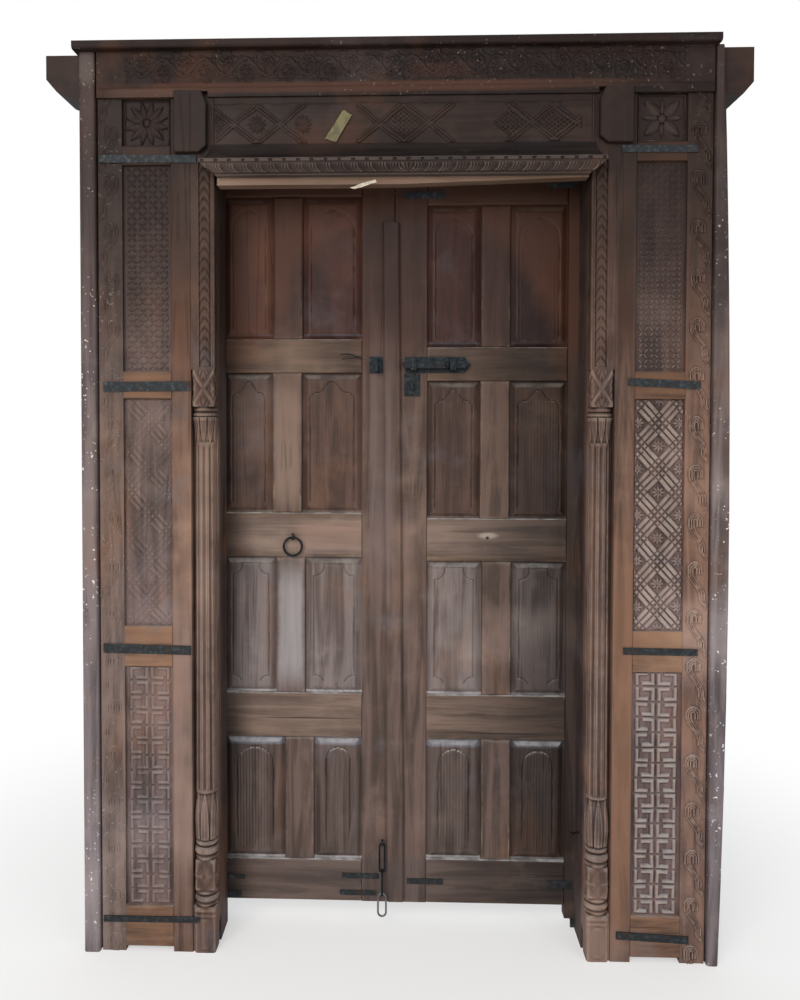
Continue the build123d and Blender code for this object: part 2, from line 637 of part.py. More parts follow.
def make_column(side):
    axis_x, axis_y = fx(side, COLUMN_AXIS), y_at(COLUMN_DEPTH)
    ends = sorted((fx(side, OPENING_HALF), fx(side, COLUMN_OUT)))
    block_ends = (axis_x - RING_R + 1, axis_x + RING_R - 1)
    with BuildPart() as column:
        slab(ends, (CAPITAL[1], LINTEL_BASE), (0, STILE_DEPTH))
        slab(ends, (BASE_TOP, CAPITAL[1]), (COLUMN_DEPTH + 7, STILE_DEPTH))
        slab(ends, (0, BASE_TOP), (0, STILE_DEPTH))
        slab(block_ends, CAPITAL, (-4, STILE_DEPTH))
        slab(block_ends, LOW_BLOCK, (-3, STILE_DEPTH))
        turning = Plane(origin=(axis_x, axis_y, 0), x_dir=(1, 0, 0), z_dir=(0, -1, 0))
        waist = SHAFT_FOOT_R - 2
        with BuildSketch(turning) as profile:
            with BuildLine():
                Polyline((0, BASE_TOP), (waist, BASE_TOP), (RING_R, BASE_TOP + 8), (RING_R, BASE_TOP + 16),
                         (waist, BASE_TOP + 24), (SHAFT_FOOT_R, LOW_BLOCK[0]), (waist, LOW_BLOCK[1]),
                         (RING_R, LOW_BLOCK[1] + 12), (RING_R, LOW_BLOCK[1] + 20), (waist, LOW_BLOCK[1] + 32),
                         (SHAFT_FOOT_R, LOTUS_FOOT))
                Polyline((SHAFT_FOOT_R, LOTUS_FOOT), (RING_R, LOTUS_FOOT + 34), (RING_R, LOTUS_FOOT + 60),
                         (SHAFT_FOOT_R, SHAFT_FOOT))
                Line((SHAFT_FOOT_R, SHAFT_FOOT), (SHAFT_TOP_R, SHAFT_TOP))
                Polyline((SHAFT_TOP_R, SHAFT_TOP), (RING_R - 3, (SHAFT_TOP + BELL_TOP) / 2 - 8), (RING_R, BELL_TOP - 6))
                Polyline((RING_R, BELL_TOP - 6), (waist, BELL_TOP), (RING_R, BELL_TOP + 8), (RING_R, CAPITAL[0] - 8),
                         (waist, CAPITAL[0]), (0, CAPITAL[0]), (0, BASE_TOP))
            make_face()
        revolve(profile.sketch, axis=Axis((axis_x, axis_y, 0), (0, 0, -1)), revolution_arc=180)
        with BuildSketch(Plane.XY.offset(SHAFT_FOOT + FLUTE_R)) as flutes:
            with Locations((axis_x, axis_y)):
                for angle in FLUTE_ANGLES:
                    with Locations(Location((0, 0), angle)):
                        with Locations((0, -(SHAFT_FOOT_R + 1))):
                            RegularPolygon(FLUTE_R, 6)
        extrude(flutes.sketch, amount=SHAFT_TOP - SHAFT_FOOT - 2 * FLUTE_R, mode=Mode.SUBTRACT)
        # Sunk leaf band above the capital, its ground and its leaves
        band = sorted((fx(side, LEAF_BAND[0]), fx(side, LEAF_BAND[1])))
        band_z = (CAPITAL[1] + 8, FLORAL_RANGE[1] + 4)
        middle = sum(band) / 2
        count = int((band_z[1] - band_z[0]) / LEAF_PITCH)
        with BuildSketch(front(0)) as sunk:
            with Locations((middle, sum(band_z) / 2)):
                Rectangle(band[1] - band[0], band_z[1] - band_z[0])
            for n in range(count):
                z = band_z[0] + (n + 0.08) * LEAF_PITCH
                with BuildLine():
                    Polyline((middle, z), (band[1] - LEAF_INSET, z + LEAF_PITCH * 0.5),
                             (middle, z + LEAF_PITCH * 0.84), (band[0] + LEAF_INSET, z + LEAF_PITCH * 0.5), close=True)
                make_face(mode=Mode.SUBTRACT)
        extrude(sunk.sketch, amount=-BAND_SINK, mode=Mode.SUBTRACT)
        # Leaf cross on the two blocks
        for block, sink in ((CAPITAL, -4), (LOW_BLOCK, -3)):
            with BuildSketch(front(sink)) as cross:
                with Locations((axis_x, sum(block) / 2)):
                    for turn in (50, -50):
                        with Locations(Location((0, 0), turn)):
                            with GridLocations(30, 1, 2, 1):
                                RegularPolygon(9, 4)
            extrude(cross.sketch, amount=-3, mode=Mode.SUBTRACT)
        # Worn inner corner of the foot
        sheet_of([(fx(side, OPENING_HALF), 0), (fx(side, OPENING_HALF + 30), 0), (fx(side, OPENING_HALF + 10), 30),
                  (fx(side, OPENING_HALF), 72)], (0, STILE_DEPTH), Mode.SUBTRACT)
    return column


# Leaves

def leaf_inner(row):
    return row[2] - MUNTIN_WIDTH / 2, row[2] + MUNTIN_WIDTH / 2


def make_hinge_stile(side):
    inner = LEAF_WIDTH - HINGE_STILE_WIDTH
    pivot = (lx(side, PIVOT_U), y_at(PIVOT_DEPTH))
    foot = SHELF_TOP + RUNNING_GAP
    base = (Align.CENTER, Align.CENTER, Align.MIN)
    with BuildPart() as hinge_stile:
        slab(sorted((lx(side, inner), lx(side, PIVOT_U))), (foot, LEAF_TOP), (LEAF_FACE, LEAF_BACK))
        with Locations((*pivot, foot)):
            Cylinder(PIVOT_R, LEAF_TOP - foot, align=base)
            Cylinder(PIN_R + PIN_CLEARANCE, PIN_HEIGHT, align=base, mode=Mode.SUBTRACT)
        with Locations((*pivot, LEAF_TOP)):
            Cylinder(TOP_PIN_R, INNER_HEAD_BASE - LEAF_TOP + TOP_PIN_HEIGHT - 2, align=base)
    return hinge_stile


def make_meeting_stile(side):
    with BuildPart() as meeting_stile:
        slab(sorted((lx(side, SEAM_GAP), lx(side, MEETING_STILE_WIDTH))), (LEAF_FOOT, LEAF_TOP),
             (LEAF_FACE, LEAF_BACK))
    return meeting_stile


def make_leaf_rails(side):
    ends = sorted((lx(side, MEETING_STILE_WIDTH), lx(side, LEAF_WIDTH - HINGE_STILE_WIDTH)))
    edges = [LEAF_FOOT] + [z for row in LEAF_ROWS[side] for z in row[:2]] + [LEAF_TOP]
    with BuildPart() as leaf_rails:
        for low, high in zip(edges[::2], edges[1::2]):
            slab(ends, (low, high), (LEAF_FACE, LEAF_BACK))
    return leaf_rails


def make_muntins(side):
    with BuildPart() as muntins:
        for row in LEAF_ROWS[side]:
            slab(sorted(lx(side, u) for u in leaf_inner(row)), row[:2], (LEAF_FACE, LEAF_BACK))
    return muntins


def arch_field(x_ends, z_ends, rise):
    (x0, x1), (z0, z1) = x_ends, z_ends
    with BuildLine() as outline:
        Polyline((x0, z1 - rise), (x0, z0), (x1, z0), (x1, z1 - rise))
        ThreePointArc((x1, z1 - rise), ((x0 + x1) / 2, z1), (x0, z1 - rise))
    return outline


def ogee_top(x0, x1, spring, apex):
    middle, half, rise = (x0 + x1) / 2, (x1 - x0) / 2, apex - spring
    for hand, edge in ((1, x1), (-1, x0)):
        knee = (middle + hand * half * 0.42, spring + rise * 0.62)
        ThreePointArc((edge, spring), (middle + hand * half * 0.84, spring + rise * 0.4), knee)
        ThreePointArc(knee, (middle + hand * half * 0.16, spring + rise * 0.78), (middle, apex))


def ogee_field(x_ends, z_ends, rise, both):
    (x0, x1), (z0, z1) = x_ends, z_ends
    foot = z0 + rise if both else z0
    with BuildLine() as outline:
        Line((x0, foot), (x0, z1 - rise))
        Line((x1, foot), (x1, z1 - rise))
        ogee_top(x0, x1, z1 - rise, z1)
        if both:
            ogee_top(x0, x1, foot, z0)
        else:
            Line((x0, z0), (x1, z0))
    return outline


REEDS = 4
FIELD_RISES = {"reeded": 34.0, "cartouche": 52.0, "ogee": 62.0, "arch": 48.0}


def make_leaf_panels(side, row_index, kind):
    row = LEAF_ROWS[side][row_index]
    inner, outer = leaf_inner(row)
    back = LEAF_FACE + LEAF_PANEL_SINK + LEAF_PANEL_THICK
    ground = LEAF_FACE + LEAF_PANEL_SINK
    rise = FIELD_RISES[kind]
    with BuildPart() as leaf_panels:
        for u_ends in ((MEETING_STILE_WIDTH, inner), (outer, LEAF_WIDTH - HINGE_STILE_WIDTH)):
            x_ends = sorted(lx(side, u) for u in u_ends)
            slab(x_ends, row[:2], (ground, back))
            field_x = (x_ends[0] + FIELD_MARGIN, x_ends[1] - FIELD_MARGIN)
            field_z = (row[0] + 2 * FIELD_MARGIN, row[1] - 2 * FIELD_MARGIN)
            with BuildSketch(front(ground)) as field:
                if kind in ("arch", "reeded"):
                    edge = arch_field(field_x, field_z, rise)
                else:
                    edge = ogee_field(field_x, field_z, rise, kind == "cartouche")
                make_face(edge.edges())
            extrude(field.sketch, amount=FIELD_RISE)
            if kind == "reeded":
                pitch = (field_x[1] - field_x[0] - 2 * FIELD_BEVEL) / REEDS
                with BuildSketch(front(ground - FIELD_RISE)) as grooves:
                    with Locations((sum(field_x) / 2, (field_z[0] + field_z[1] - rise) / 2)):
                        with GridLocations(pitch, 1, REEDS - 1, 1):
                            Rectangle(pitch * 0.22, field_z[1] - field_z[0] - rise - 2 * FIELD_BEVEL)
                extrude(grooves.sketch, amount=-FIELD_RISE / 2, mode=Mode.SUBTRACT)
    return leaf_panels


def make_leaf_straps(side):
    with BuildPart() as leaf_straps:
        for start, end, drawn, width in LEAF_STRAPS[side]:
            middle = drawn * RISE
            slab(sorted((lx(side, start), lx(side, end))), (middle - width / 2, middle + width / 2),
                 (LEAF_FACE - LEAF_STRAP_THICK, LEAF_FACE))
    return leaf_straps


def make_batten():
    (low, high), half = BATTEN_RANGE, BATTEN_WIDTH / 2
    foot, head = LEAF_X + BATTEN_FOOT_X, LEAF_X + BATTEN_HEAD_X
    with BuildPart() as batten:
        sheet_of([(foot - half, low), (foot + half, low), (head + half, high), (head - half, high)],
                 (LEAF_FACE - BATTEN_THICK, LEAF_FACE - RUNNING_GAP))
        sides = batten.faces().sort_by(Axis.Y)[0].edges().filter_by(lambda edge: edge.length > HEIGHT / 2)
        chamfer(sides, 4)
    return batten


# Fittings

BAR_BACK = LEAF_FACE - BATTEN_THICK - BAR_CLEAR
BAR_FACE = BAR_BACK - BAR_THICK


def loop_over_bar(x_ends, gap, wall, plate_depth):
    half = BAR_HEIGHT / 2 + gap
    slab(x_ends, (BOLT_Z - half - wall, BOLT_Z + half + wall), (BAR_FACE - gap - wall, plate_depth))
    slab(x_ends, (BOLT_Z - half, BOLT_Z + half), (BAR_FACE - gap, plate_depth), Mode.SUBTRACT)


def make_bolt_plate():
    start, end = lx(RIGHT, BOLT_PLATE[0]), lx(RIGHT, BOLT_PLATE[1])
    half = BOLT_PLATE_HEIGHT / 2
    plate_face = LEAF_FACE - PLATE_THICK
    with BuildPart() as bolt_plate:
        for guide in GUIDES:
            x = lx(RIGHT, guide)
            loop_over_bar((x - GUIDE_WIDTH / 2, x + GUIDE_WIDTH / 2), BAR_GAP, GUIDE_WALL, LEAF_FACE)
        sheet_of([(start, BOLT_Z - half), (end - half * 0.8, BOLT_Z - half), (end, BOLT_Z),
                  (end - half * 0.8, BOLT_Z + half), (start, BOLT_Z + half)], (plate_face, LEAF_FACE))
    return bolt_plate


KNOB_R = 7.0
KNOB_HEIGHT = 12.0
KNOB_CLEAR = 1.0


def make_bolt_bar():
    half = BAR_HEIGHT / 2
    tip, end = lx(RIGHT, BAR_TIP), lx(RIGHT, BAR_END)
    knob_x = lx(RIGHT, GUIDES[1] - GUIDE_WIDTH / 2 - KNOB_R - KNOB_CLEAR)
    with BuildPart() as bolt_bar:
        sheet_of([(tip, BOLT_Z - half * 0.5), (tip + half, BOLT_Z - half), (end, BOLT_Z - half),
                  (end, BOLT_Z + half), (tip + half, BOLT_Z + half), (tip, BOLT_Z + half * 0.5)],
                 (BAR_FACE, BAR_BACK))
        with BuildSketch(front(BAR_FACE)) as knob:
            with Locations((knob_x, BOLT_Z)):
                RegularPolygon(KNOB_R, 8)
        extrude(knob.sketch, amount=KNOB_HEIGHT)
        chamfer(bolt_bar.faces().sort_by(Axis.Y)[0].edges(), 2)
    return bolt_bar


STAPLE_WIRE = 5.0
STAPLE_INSIDE = (10.0, 10.0)


def make_lock_plate():
    ends = sorted(lx(RIGHT, u) for u in LOCK_PLATE)
    plate_face = LEAF_FACE - PLATE_THICK - 1
    middle = sum(ends) / 2
    z = sum(LOCK_PLATE_RANGE) / 2 - 4
    half = STAPLE_INSIDE[0] / 2
    wire_ends = (middle - STAPLE_WIRE / 2, middle + STAPLE_WIRE / 2)
    with BuildPart() as lock_plate:
        slab(ends, LOCK_PLATE_RANGE, (plate_face, LEAF_FACE))
        slab(wire_ends, (z - half - STAPLE_WIRE, z + half + STAPLE_WIRE),
             (plate_face - STAPLE_INSIDE[1] - STAPLE_WIRE, plate_face))
        slab(wire_ends, (z - half, z + half), (plate_face - STAPLE_INSIDE[1], plate_face), Mode.SUBTRACT)
    return lock_plate


def make_eye_plate():
    ends = sorted(lx(LEFT, u) for u in EYE_PLATE)
    plate_ends = (ends[0], ends[1] - BATTEN_WIDTH * 0.2)
    plate_face = LEAF_FACE - PLATE_THICK
    loop_x = sum(plate_ends) / 2
    with BuildPart() as eye_plate:
        loop_over_bar((loop_x - GUIDE_WALL, loop_x + GUIDE_WALL), EYE_CLEAR, GUIDE_WALL, LEAF_FACE)
        slab(plate_ends, (BOLT_Z - EYE_HEIGHT / 2, BOLT_Z + EYE_HEIGHT / 2), (plate_face, LEAF_FACE))
    return eye_plate


def eye_on(x, depth, z):
    outer = EYE_R + 2 * EYE_WIRE
    with BuildSketch(Plane.YZ.offset(x - EYE_WIRE)) as lug:
        with Locations((y_at(depth), z)):
            RegularPolygon(outer, 8)
        with Locations((y_at((depth + LEAF_FACE) / 2), z)):
            Rectangle(LEAF_FACE - depth, 2 * EYE_WIRE)
        with Locations((y_at(depth), z)):
            Circle(EYE_R, mode=Mode.SUBTRACT)
    extrude(lug.sketch, amount=2 * EYE_WIRE)


RING_DEPTH = LEAF_FACE - EYE_R - 2 * EYE_WIRE - 1.5
RING_EYE_Z = RING_Z + RING_MAJOR + EYE_SAG


def make_ring_staple():
    with BuildPart() as ring_staple:
        eye_on(lx(LEFT, RING_U), RING_DEPTH, RING_EYE_Z)
    return ring_staple


def make_ring_pull():
    centre = (lx(LEFT, RING_U), RING_Z)
    with BuildPart() as ring_pull:
        with BuildSketch(front(RING_DEPTH)) as hoop:
            with Locations(centre):
                RegularPolygon(RING_MAJOR + RING_WIRE, RING_SIDES)
                RegularPolygon(RING_MAJOR - RING_WIRE, RING_SIDES, mode=Mode.SUBTRACT)
        extrude(hoop.sketch, amount=RING_WIRE * FLAT, both=True)
        chamfer(ring_pull.faces().filter_by(Axis.Y).edges(), RING_WIRE * WIRE_CORNER)
    return ring_pull


CHAIN_DEPTH = LEAF_FACE - CHAIN_PLANE
CHAIN_EYE_Z = CHAIN_TOP - CHAIN_WIRE + EYE_SAG


def make_chain_staple():
    with BuildPart() as chain_staple:
        eye_on(lx(LEFT, CHAIN_U), CHAIN_DEPTH, CHAIN_EYE_Z)
    return chain_staple


def link_tops():
    tops, z = [], CHAIN_TOP
    for wide, tall in LINK_SIZES:
        tops.append(z)
        z -= tall - 4 * CHAIN_WIRE - LINK_GAP
    return tops


def link_outline(half, straight, reach):
    points = []
    for end in (1, -1):
        for n in range(LINK_TURN + 1):
            turn = radians(180 * n / LINK_TURN)
            points.append((end * (half + reach) * cos(turn), end * (straight / 2 + (half + reach) * sin(turn))))
    return points


def make_chain_link(index):
    wide, tall = LINK_SIZES[index]
    half = wide / 2 - CHAIN_WIRE
    origin = (lx(LEFT, CHAIN_U), y_at(CHAIN_DEPTH), link_tops()[index] - tall / 2)
    edge_on = index == 1
    plane = Plane(origin=origin, x_dir=(0, 1, 0) if edge_on else (1, 0, 0), z_dir=(1, 0, 0) if edge_on else (0, -1, 0))
    with BuildPart() as chain_link:
        with BuildSketch(plane) as wire:
            Polygon(*link_outline(half, tall - wide, CHAIN_WIRE * FLAT), align=None)
            Polygon(*link_outline(half, tall - wide, -CHAIN_WIRE * FLAT), align=None, mode=Mode.SUBTRACT)
        extrude(wire.sketch, amount=CHAIN_WIRE * FLAT, both=True)
        chamfer(chain_link.faces().filter_by(Axis.X if edge_on else Axis.Y).edges(), CHAIN_WIRE * WIRE_CORNER)
    return chain_link


BRACKET_HALF = 24.0
BRACKET_THICK = 6.0


def make_pivot_brackets():
    with BuildPart() as pivot_brackets:
        for side in SIDES.values():
            x, y = lx(side, PIVOT_U), y_at(PIVOT_DEPTH)
            ends = (x - BRACKET_HALF, x + BRACKET_HALF)
            slab(ends, (SHELF_TOP - BRACKET_THICK, SHELF_TOP), (POST_BACK, LEAF_BACK))
            slab(ends, (2, SHELF_TOP), (POST_BACK, POST_BACK + BRACKET_THICK))
            with Locations((x, y, SHELF_TOP)):
                Cylinder(PIN_R, PIN_HEIGHT - 2, align=(Align.CENTER, Align.CENTER, Align.MIN))
    return pivot_brackets


save("cap_moulding", make_cap())
save("head_board", make_head_board())
save("rear_lintel", make_rear_lintel())
save("inner_head", make_inner_head())
save("frieze_board", make_frieze_board())
save("cornice", make_cornice())
save("soffit_strip", make_soffit_strip())
save("jamb_straps", make_jamb_straps())
save("pivot_brackets", make_pivot_brackets())
PANEL_KINDS = ("reeded", "cartouche", "ogee", "arch")
for name, side in SIDES.items():
    save(f"{name}_pilaster_head", make_pilaster_head(side))
    save(f"{name}_border_stile", make_border_stile(side))
    save(f"{name}_inner_stile", make_inner_stile(side))
    save(f"{name}_column", make_column(side))
    save(f"{name}_edge_strip", make_edge_strip(side))
    save(f"{name}_jamb_rails", make_jamb_rails(side))
    save(f"{name}_rosette_panel", make_rosette_panel(side))
    save(f"{name}_floral_panel", make_floral_panel(side))
    save(f"{name}_lattice_panel", make_lattice_panel(side))
    save(f"{name}_fret_panel", make_fret_panel(side))
    save(f"{name}_rear_post", make_rear_post(side))
    save(f"{name}_hinge_stile", make_hinge_stile(side))
    save(f"{name}_meeting_stile", make_meeting_stile(side))
    save(f"{name}_leaf_rails", make_leaf_rails(side))
    save(f"{name}_muntins", make_muntins(side))
    save(f"{name}_leaf_straps", make_leaf_straps(side))
    for index, kind in enumerate(PANEL_KINDS):
        save(f"{name}_{kind}_panels", make_leaf_panels(side, index, kind))
save("batten", make_batten())
save("ring_staple", make_ring_staple())
save("ring_pull", make_ring_pull())
save("eye_plate", make_eye_plate())
save("chain_staple", make_chain_staple())
for index in range(len(LINK_SIZES)):
    save(f"chain_link_{index + 1}", make_chain_link(index))
save("bolt_plate", make_bolt_plate())
save("bolt_bar", make_bolt_bar())
save("lock_plate", make_lock_plate())
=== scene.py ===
import math
from typing import NamedTuple

import bpy
import numpy as np
from mathutils import Matrix, Vector


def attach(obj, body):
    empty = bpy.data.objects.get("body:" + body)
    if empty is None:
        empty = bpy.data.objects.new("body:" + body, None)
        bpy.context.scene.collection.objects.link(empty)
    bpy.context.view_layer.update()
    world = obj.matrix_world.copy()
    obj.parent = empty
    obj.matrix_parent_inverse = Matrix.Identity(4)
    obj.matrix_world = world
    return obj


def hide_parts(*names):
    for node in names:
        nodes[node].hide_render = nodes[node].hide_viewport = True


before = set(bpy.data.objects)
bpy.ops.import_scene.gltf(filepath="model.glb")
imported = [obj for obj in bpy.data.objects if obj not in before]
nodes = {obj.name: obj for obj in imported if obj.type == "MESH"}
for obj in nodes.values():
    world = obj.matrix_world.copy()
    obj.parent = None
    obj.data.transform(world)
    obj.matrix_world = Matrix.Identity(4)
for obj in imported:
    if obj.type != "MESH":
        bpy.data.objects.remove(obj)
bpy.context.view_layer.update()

# Millimetres. Across is measured from the middle of the frame or from the seam of the leaves,
# depth is measured back from the faces of the jamb stiles, and height from the floor.
LEFT, RIGHT = -1, 1
SIDES = {"left": LEFT, "right": RIGHT}
FRAME_X, LEAF_X, FACE_Y = 17.5, -0.5, -65.0
OPENING, COLUMN_OUT, PANEL_IN, PANEL_OUT, BORDER_OUT, STRIP_IN = 488, 552, 604, 733, 796, 801
INNER_STILE = (COLUMN_OUT + PANEL_IN) / 2
GROUND, STILE_BACK, PANEL_BACK = 14, 60, 44
LINTEL_BASE, LINTEL_TOP, FRIEZE_BASE = 2262, 2380, 2140
FRET, LATTICE, FLORAL, ROSETTE = (123, 768), (875, 1479), (1550, 2090), (2139, 2262)
JAMB_RAILS = ((14, 123), (768, 875), (1479, 1550), (2090, 2139))
LEAF_FACE, LEAF_BACK, LEAF_FOOT, LEAF_TOP = 152, 190, 62, 2088
MEETING, HINGE, MUNTIN = 90, 478, 82
LEAF_ROWS = {
    LEFT: ((180, 528, 266), (654, 1037, 290), (1162, 1553, 300), (1647, 2041, 297)),
    RIGHT: ((187, 527, 285), (653, 1028, 285), (1148, 1531, 278), (1624, 2015, 279)),
}
RELIEF = 6.0


def fx(side, across):
    return FRAME_X + side * across


def lx(side, across):
    return LEAF_X + side * across


# Shapes

RIPPLE_WAVES, RIPPLE_PEAK = 5, 2.6
EDGE_PLACES = np.array([0, 0.15, 0.38, 0.68])
CUT_REACH, SHARP_ANGLE = 2, math.radians(38)


def ripple(a, b, size, seed):
    """Slow unevenness of a hand-cut face, about -1 to 1."""
    rng = np.random.default_rng(seed)
    total = 0
    for _ in range(RIPPLE_WAVES):
        angle = rng.uniform(0, 2 * math.pi)
        phase = rng.uniform(0, 2 * math.pi)
        length = size * rng.uniform(0.6, 1.6)
        total = total + np.sin((a * math.cos(angle) + b * math.sin(angle)) * 2 * math.pi / length + phase)
    return total / RIPPLE_PEAK


def spread(low, high, step, edge=0.0):
    """Places along a length, close together near both ends where an edge is rounded."""
    if not edge:
        return np.linspace(low, high, max(2, round((high - low) / step) + 1))
    inset = edge * EDGE_PLACES
    middle = np.linspace(low + edge, high - edge, max(2, round((high - low - 2 * edge) / step) + 1))
    return np.concatenate([low + inset, middle, high - inset[::-1]])


def blur(field, reach):
    """Mean of a field over a square of 2 reach + 1 cells."""
    width = 2 * reach + 1
    for axis in (0, 1):
        padded = np.pad(field, [(reach, reach) if k == axis else (0, 0) for k in (0, 1)], mode="edge")
        total = np.cumsum(padded, axis=axis)
        total = np.concatenate([np.zeros_like(np.take(total, [0], axis=axis)), total], axis=axis)
        upper = np.take(total, range(width, total.shape[axis]), axis=axis)
        lower = np.take(total, range(0, total.shape[axis] - width), axis=axis)
        field = (upper - lower) / width
    return field


def soft_step(value, low, high):
    t = np.clip((value - low) / (high - low), 0, 1)
    return t * t * (3 - 2 * t)


def from_edge(a, b):
    """How far each point of a board is from its nearest edge."""
    return np.minimum(np.minimum(a - a.min(), a.max() - a), np.minimum(b - b.min(), b.max() - b))


def flat_face(across, up):
    return 0 * across


def rim_of(face):
    """The points round a sheet, once round."""
    return np.concatenate([face[0, :-1], face[:-1, -1], face[-1, :0:-1], face[:0:-1, 0]])


def put_mark(mesh, key, values):
    """Keeps one number for each point of a mesh, for its finish to read."""
    mesh.attributes.new(key, "FLOAT", "POINT").data.foreach_set("value", values.astype(np.float32))


class Shell:
    """Collects the closed faces of one piece, in millimetres."""

    def __init__(self):
        self.points, self.quads, self.rings, self.count = [], [], [], 0
        self.marks = {"cut": [], "stand": []}

    def add(self, points, cut=0.0, stand=0.0):
        """Adds points: cut tells how they lie to their neighbours, stand how high above the ground."""
        shape = points.shape[:-1]
        index = self.count + np.arange(math.prod(shape)).reshape(shape)
        self.count += index.size
        self.points.append(points.reshape(-1, 3))
        for key, value in (("cut", cut), ("stand", stand)):
            self.marks[key].append(np.broadcast_to(value, shape).reshape(-1))
        return index

    def grid(self, points, cut=0.0, stand=0.0, wrap=False):
        """Quads over points[row][column]. Rows go up and columns to the right of whoever looks at them."""
        index = self.add(points, cut, stand)
        turn = np.concatenate([index, index[:, :1]], axis=1) if wrap else index
        quads = np.stack([turn[:-1, :-1], turn[:-1, 1:], turn[1:, 1:], turn[1:, :-1]], -1)
        self.quads.append(quads.reshape(-1, 4))
        return index

    def join(self, rim, other):
        """A wall of quads between the rims of a face and of the back behind it."""
        self.quads.append(np.stack([rim, other, np.roll(other, -1), np.roll(rim, -1)], -1))

    def board(self, x_ends, z_ends, front, back, height, step, edge=0.0, move=None, tall=1.0):
        """A board whose face stands height(x, z) in front of its front depth."""
        across, up = np.meshgrid(spread(*sorted(x_ends), step, edge), spread(*z_ends, step * tall, edge))
        rise = height(across, up)
        points = np.stack([across, FACE_Y + front - rise, up], -1)
        if move:
            points = move(points)
        rim = rim_of(self.grid(points, rise - blur(rise, CUT_REACH), np.clip(rise / RELIEF, 0, 1)))
        behind = rim_of(points)
        behind[:, 1] = FACE_Y + back
        other = self.add(behind)
        self.join(rim, other)
        self.rings.append(other[::-1])

    def tube(self, rings, cut, stand=0.0):
        """A closed body from rings of points, each anticlockwise seen from above, lowest ring first."""
        index = self.grid(rings, cut, stand, wrap=True)
        self.rings += [index[0][::-1], index[-1]]

    def build(self, name, material, body, replaces=(), slot="frame_wood"):
        points = np.concatenate(self.points) / 1000
        quads = np.concatenate(self.quads)
        loops = np.concatenate([quads.ravel(), *self.rings]).astype(np.int32)
        sizes = np.concatenate([np.full(len(quads), 4), [len(ring) for ring in self.rings]]).astype(np.int32)
        mesh = bpy.data.meshes.new(name)
        mesh.vertices.add(len(points))
        mesh.vertices.foreach_set("co", points.astype(np.float32).ravel())
        mesh.loops.add(len(loops))
        mesh.loops.foreach_set("vertex_index", loops)
        mesh.polygons.add(len(sizes))
        mesh.polygons.foreach_set("loop_start", np.concatenate([[0], np.cumsum(sizes)[:-1]]).astype(np.int32))
        mesh.update(calc_edges=True)
        mesh.validate()
        for key, values in self.marks.items():
            put_mark(mesh, key, np.concatenate(values))
        mesh.polygons.foreach_set("use_smooth", np.ones(len(mesh.polygons), bool))
        mesh.set_sharp_from_angle(angle=SHARP_ANGLE)
        return settle(bpy.data.objects.new(name, mesh), material, body, replaces)


def settle(piece, material, body, replaces=()):
    """Puts a finished piece in the scene with its finish, on its body."""
    bpy.context.scene.collection.objects.link(piece)
    piece.data.materials.clear()
    piece.data.materials.append(material)
    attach(piece, body)
    if replaces:
        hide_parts(*replaces)
    return piece


def plain_object(holder, name):
    """The evaluated form of a curve, or of an object with a modifier, as a new object with a plain mesh."""
    bpy.context.scene.collection.objects.link(holder)
    bpy.context.view_layer.update()
    mesh = bpy.data.meshes.new_from_object(holder.evaluated_get(bpy.context.evaluated_depsgraph_get()))
    bpy.data.objects.remove(holder)
    mesh.name = name
    return bpy.data.objects.new(name, mesh)


# Node trees

def operator(operation, reflected=False):
    """A method that works on a wire and a number or another wire, in the other order if reflected."""
    def combine(self, other):
        values = (other, self) if reflected else (self, other)
        return self.tree.node("ShaderNodeMath", {"operation": operation}, dict(enumerate(values)))
    return combine


class Wire:
    """One output in a node tree. Those that are numbers take the usual operators."""

    def __init__(self, tree, socket):
        self.tree, self.socket = tree, socket

    __add__, __radd__ = operator("ADD"), operator("ADD", reflected=True)
    __sub__, __rsub__ = operator("SUBTRACT"), operator("SUBTRACT", reflected=True)
    __mul__, __rmul__ = operator("MULTIPLY"), operator("MULTIPLY", reflected=True)
    __pow__, __rpow__ = operator("POWER"), operator("POWER", reflected=True)
    least, most = operator("MINIMUM"), operator("MAXIMUM")

    def __abs__(self):
        return self.tree.node("ShaderNodeMath", {"operation": "ABSOLUTE"}, {0: self})

    def between(self, low, high):
        """0 below low, 1 above high, smooth in between. Low may be above high."""
        return self.tree.node("ShaderNodeMapRange", {"interpolation_type": "SMOOTHSTEP"},
                              {"Value": self, "From Min": low, "From Max": high})


class Tree:
    """A node tree in the making: it adds nodes and hands back their outputs."""

    def __init__(self, tree):
        self.tree = tree
        tree.nodes.clear()

    def node(self, kind, settings, sockets, out=0):
        """Adds a node, its settings first, and gives one output, or all of them by name if out is None."""
        node = self.tree.nodes.new(kind)
        for key, value in settings.items():
            setattr(node, key, value)
        for key, value in sockets.items():
            if isinstance(value, Wire):
                self.tree.links.new(value.socket, node.inputs[key])
            else:
                node.inputs[key].default_value = value
        if out is None:
            return {socket.name: Wire(self, socket) for socket in node.outputs}
        return Wire(self, node.outputs[out])


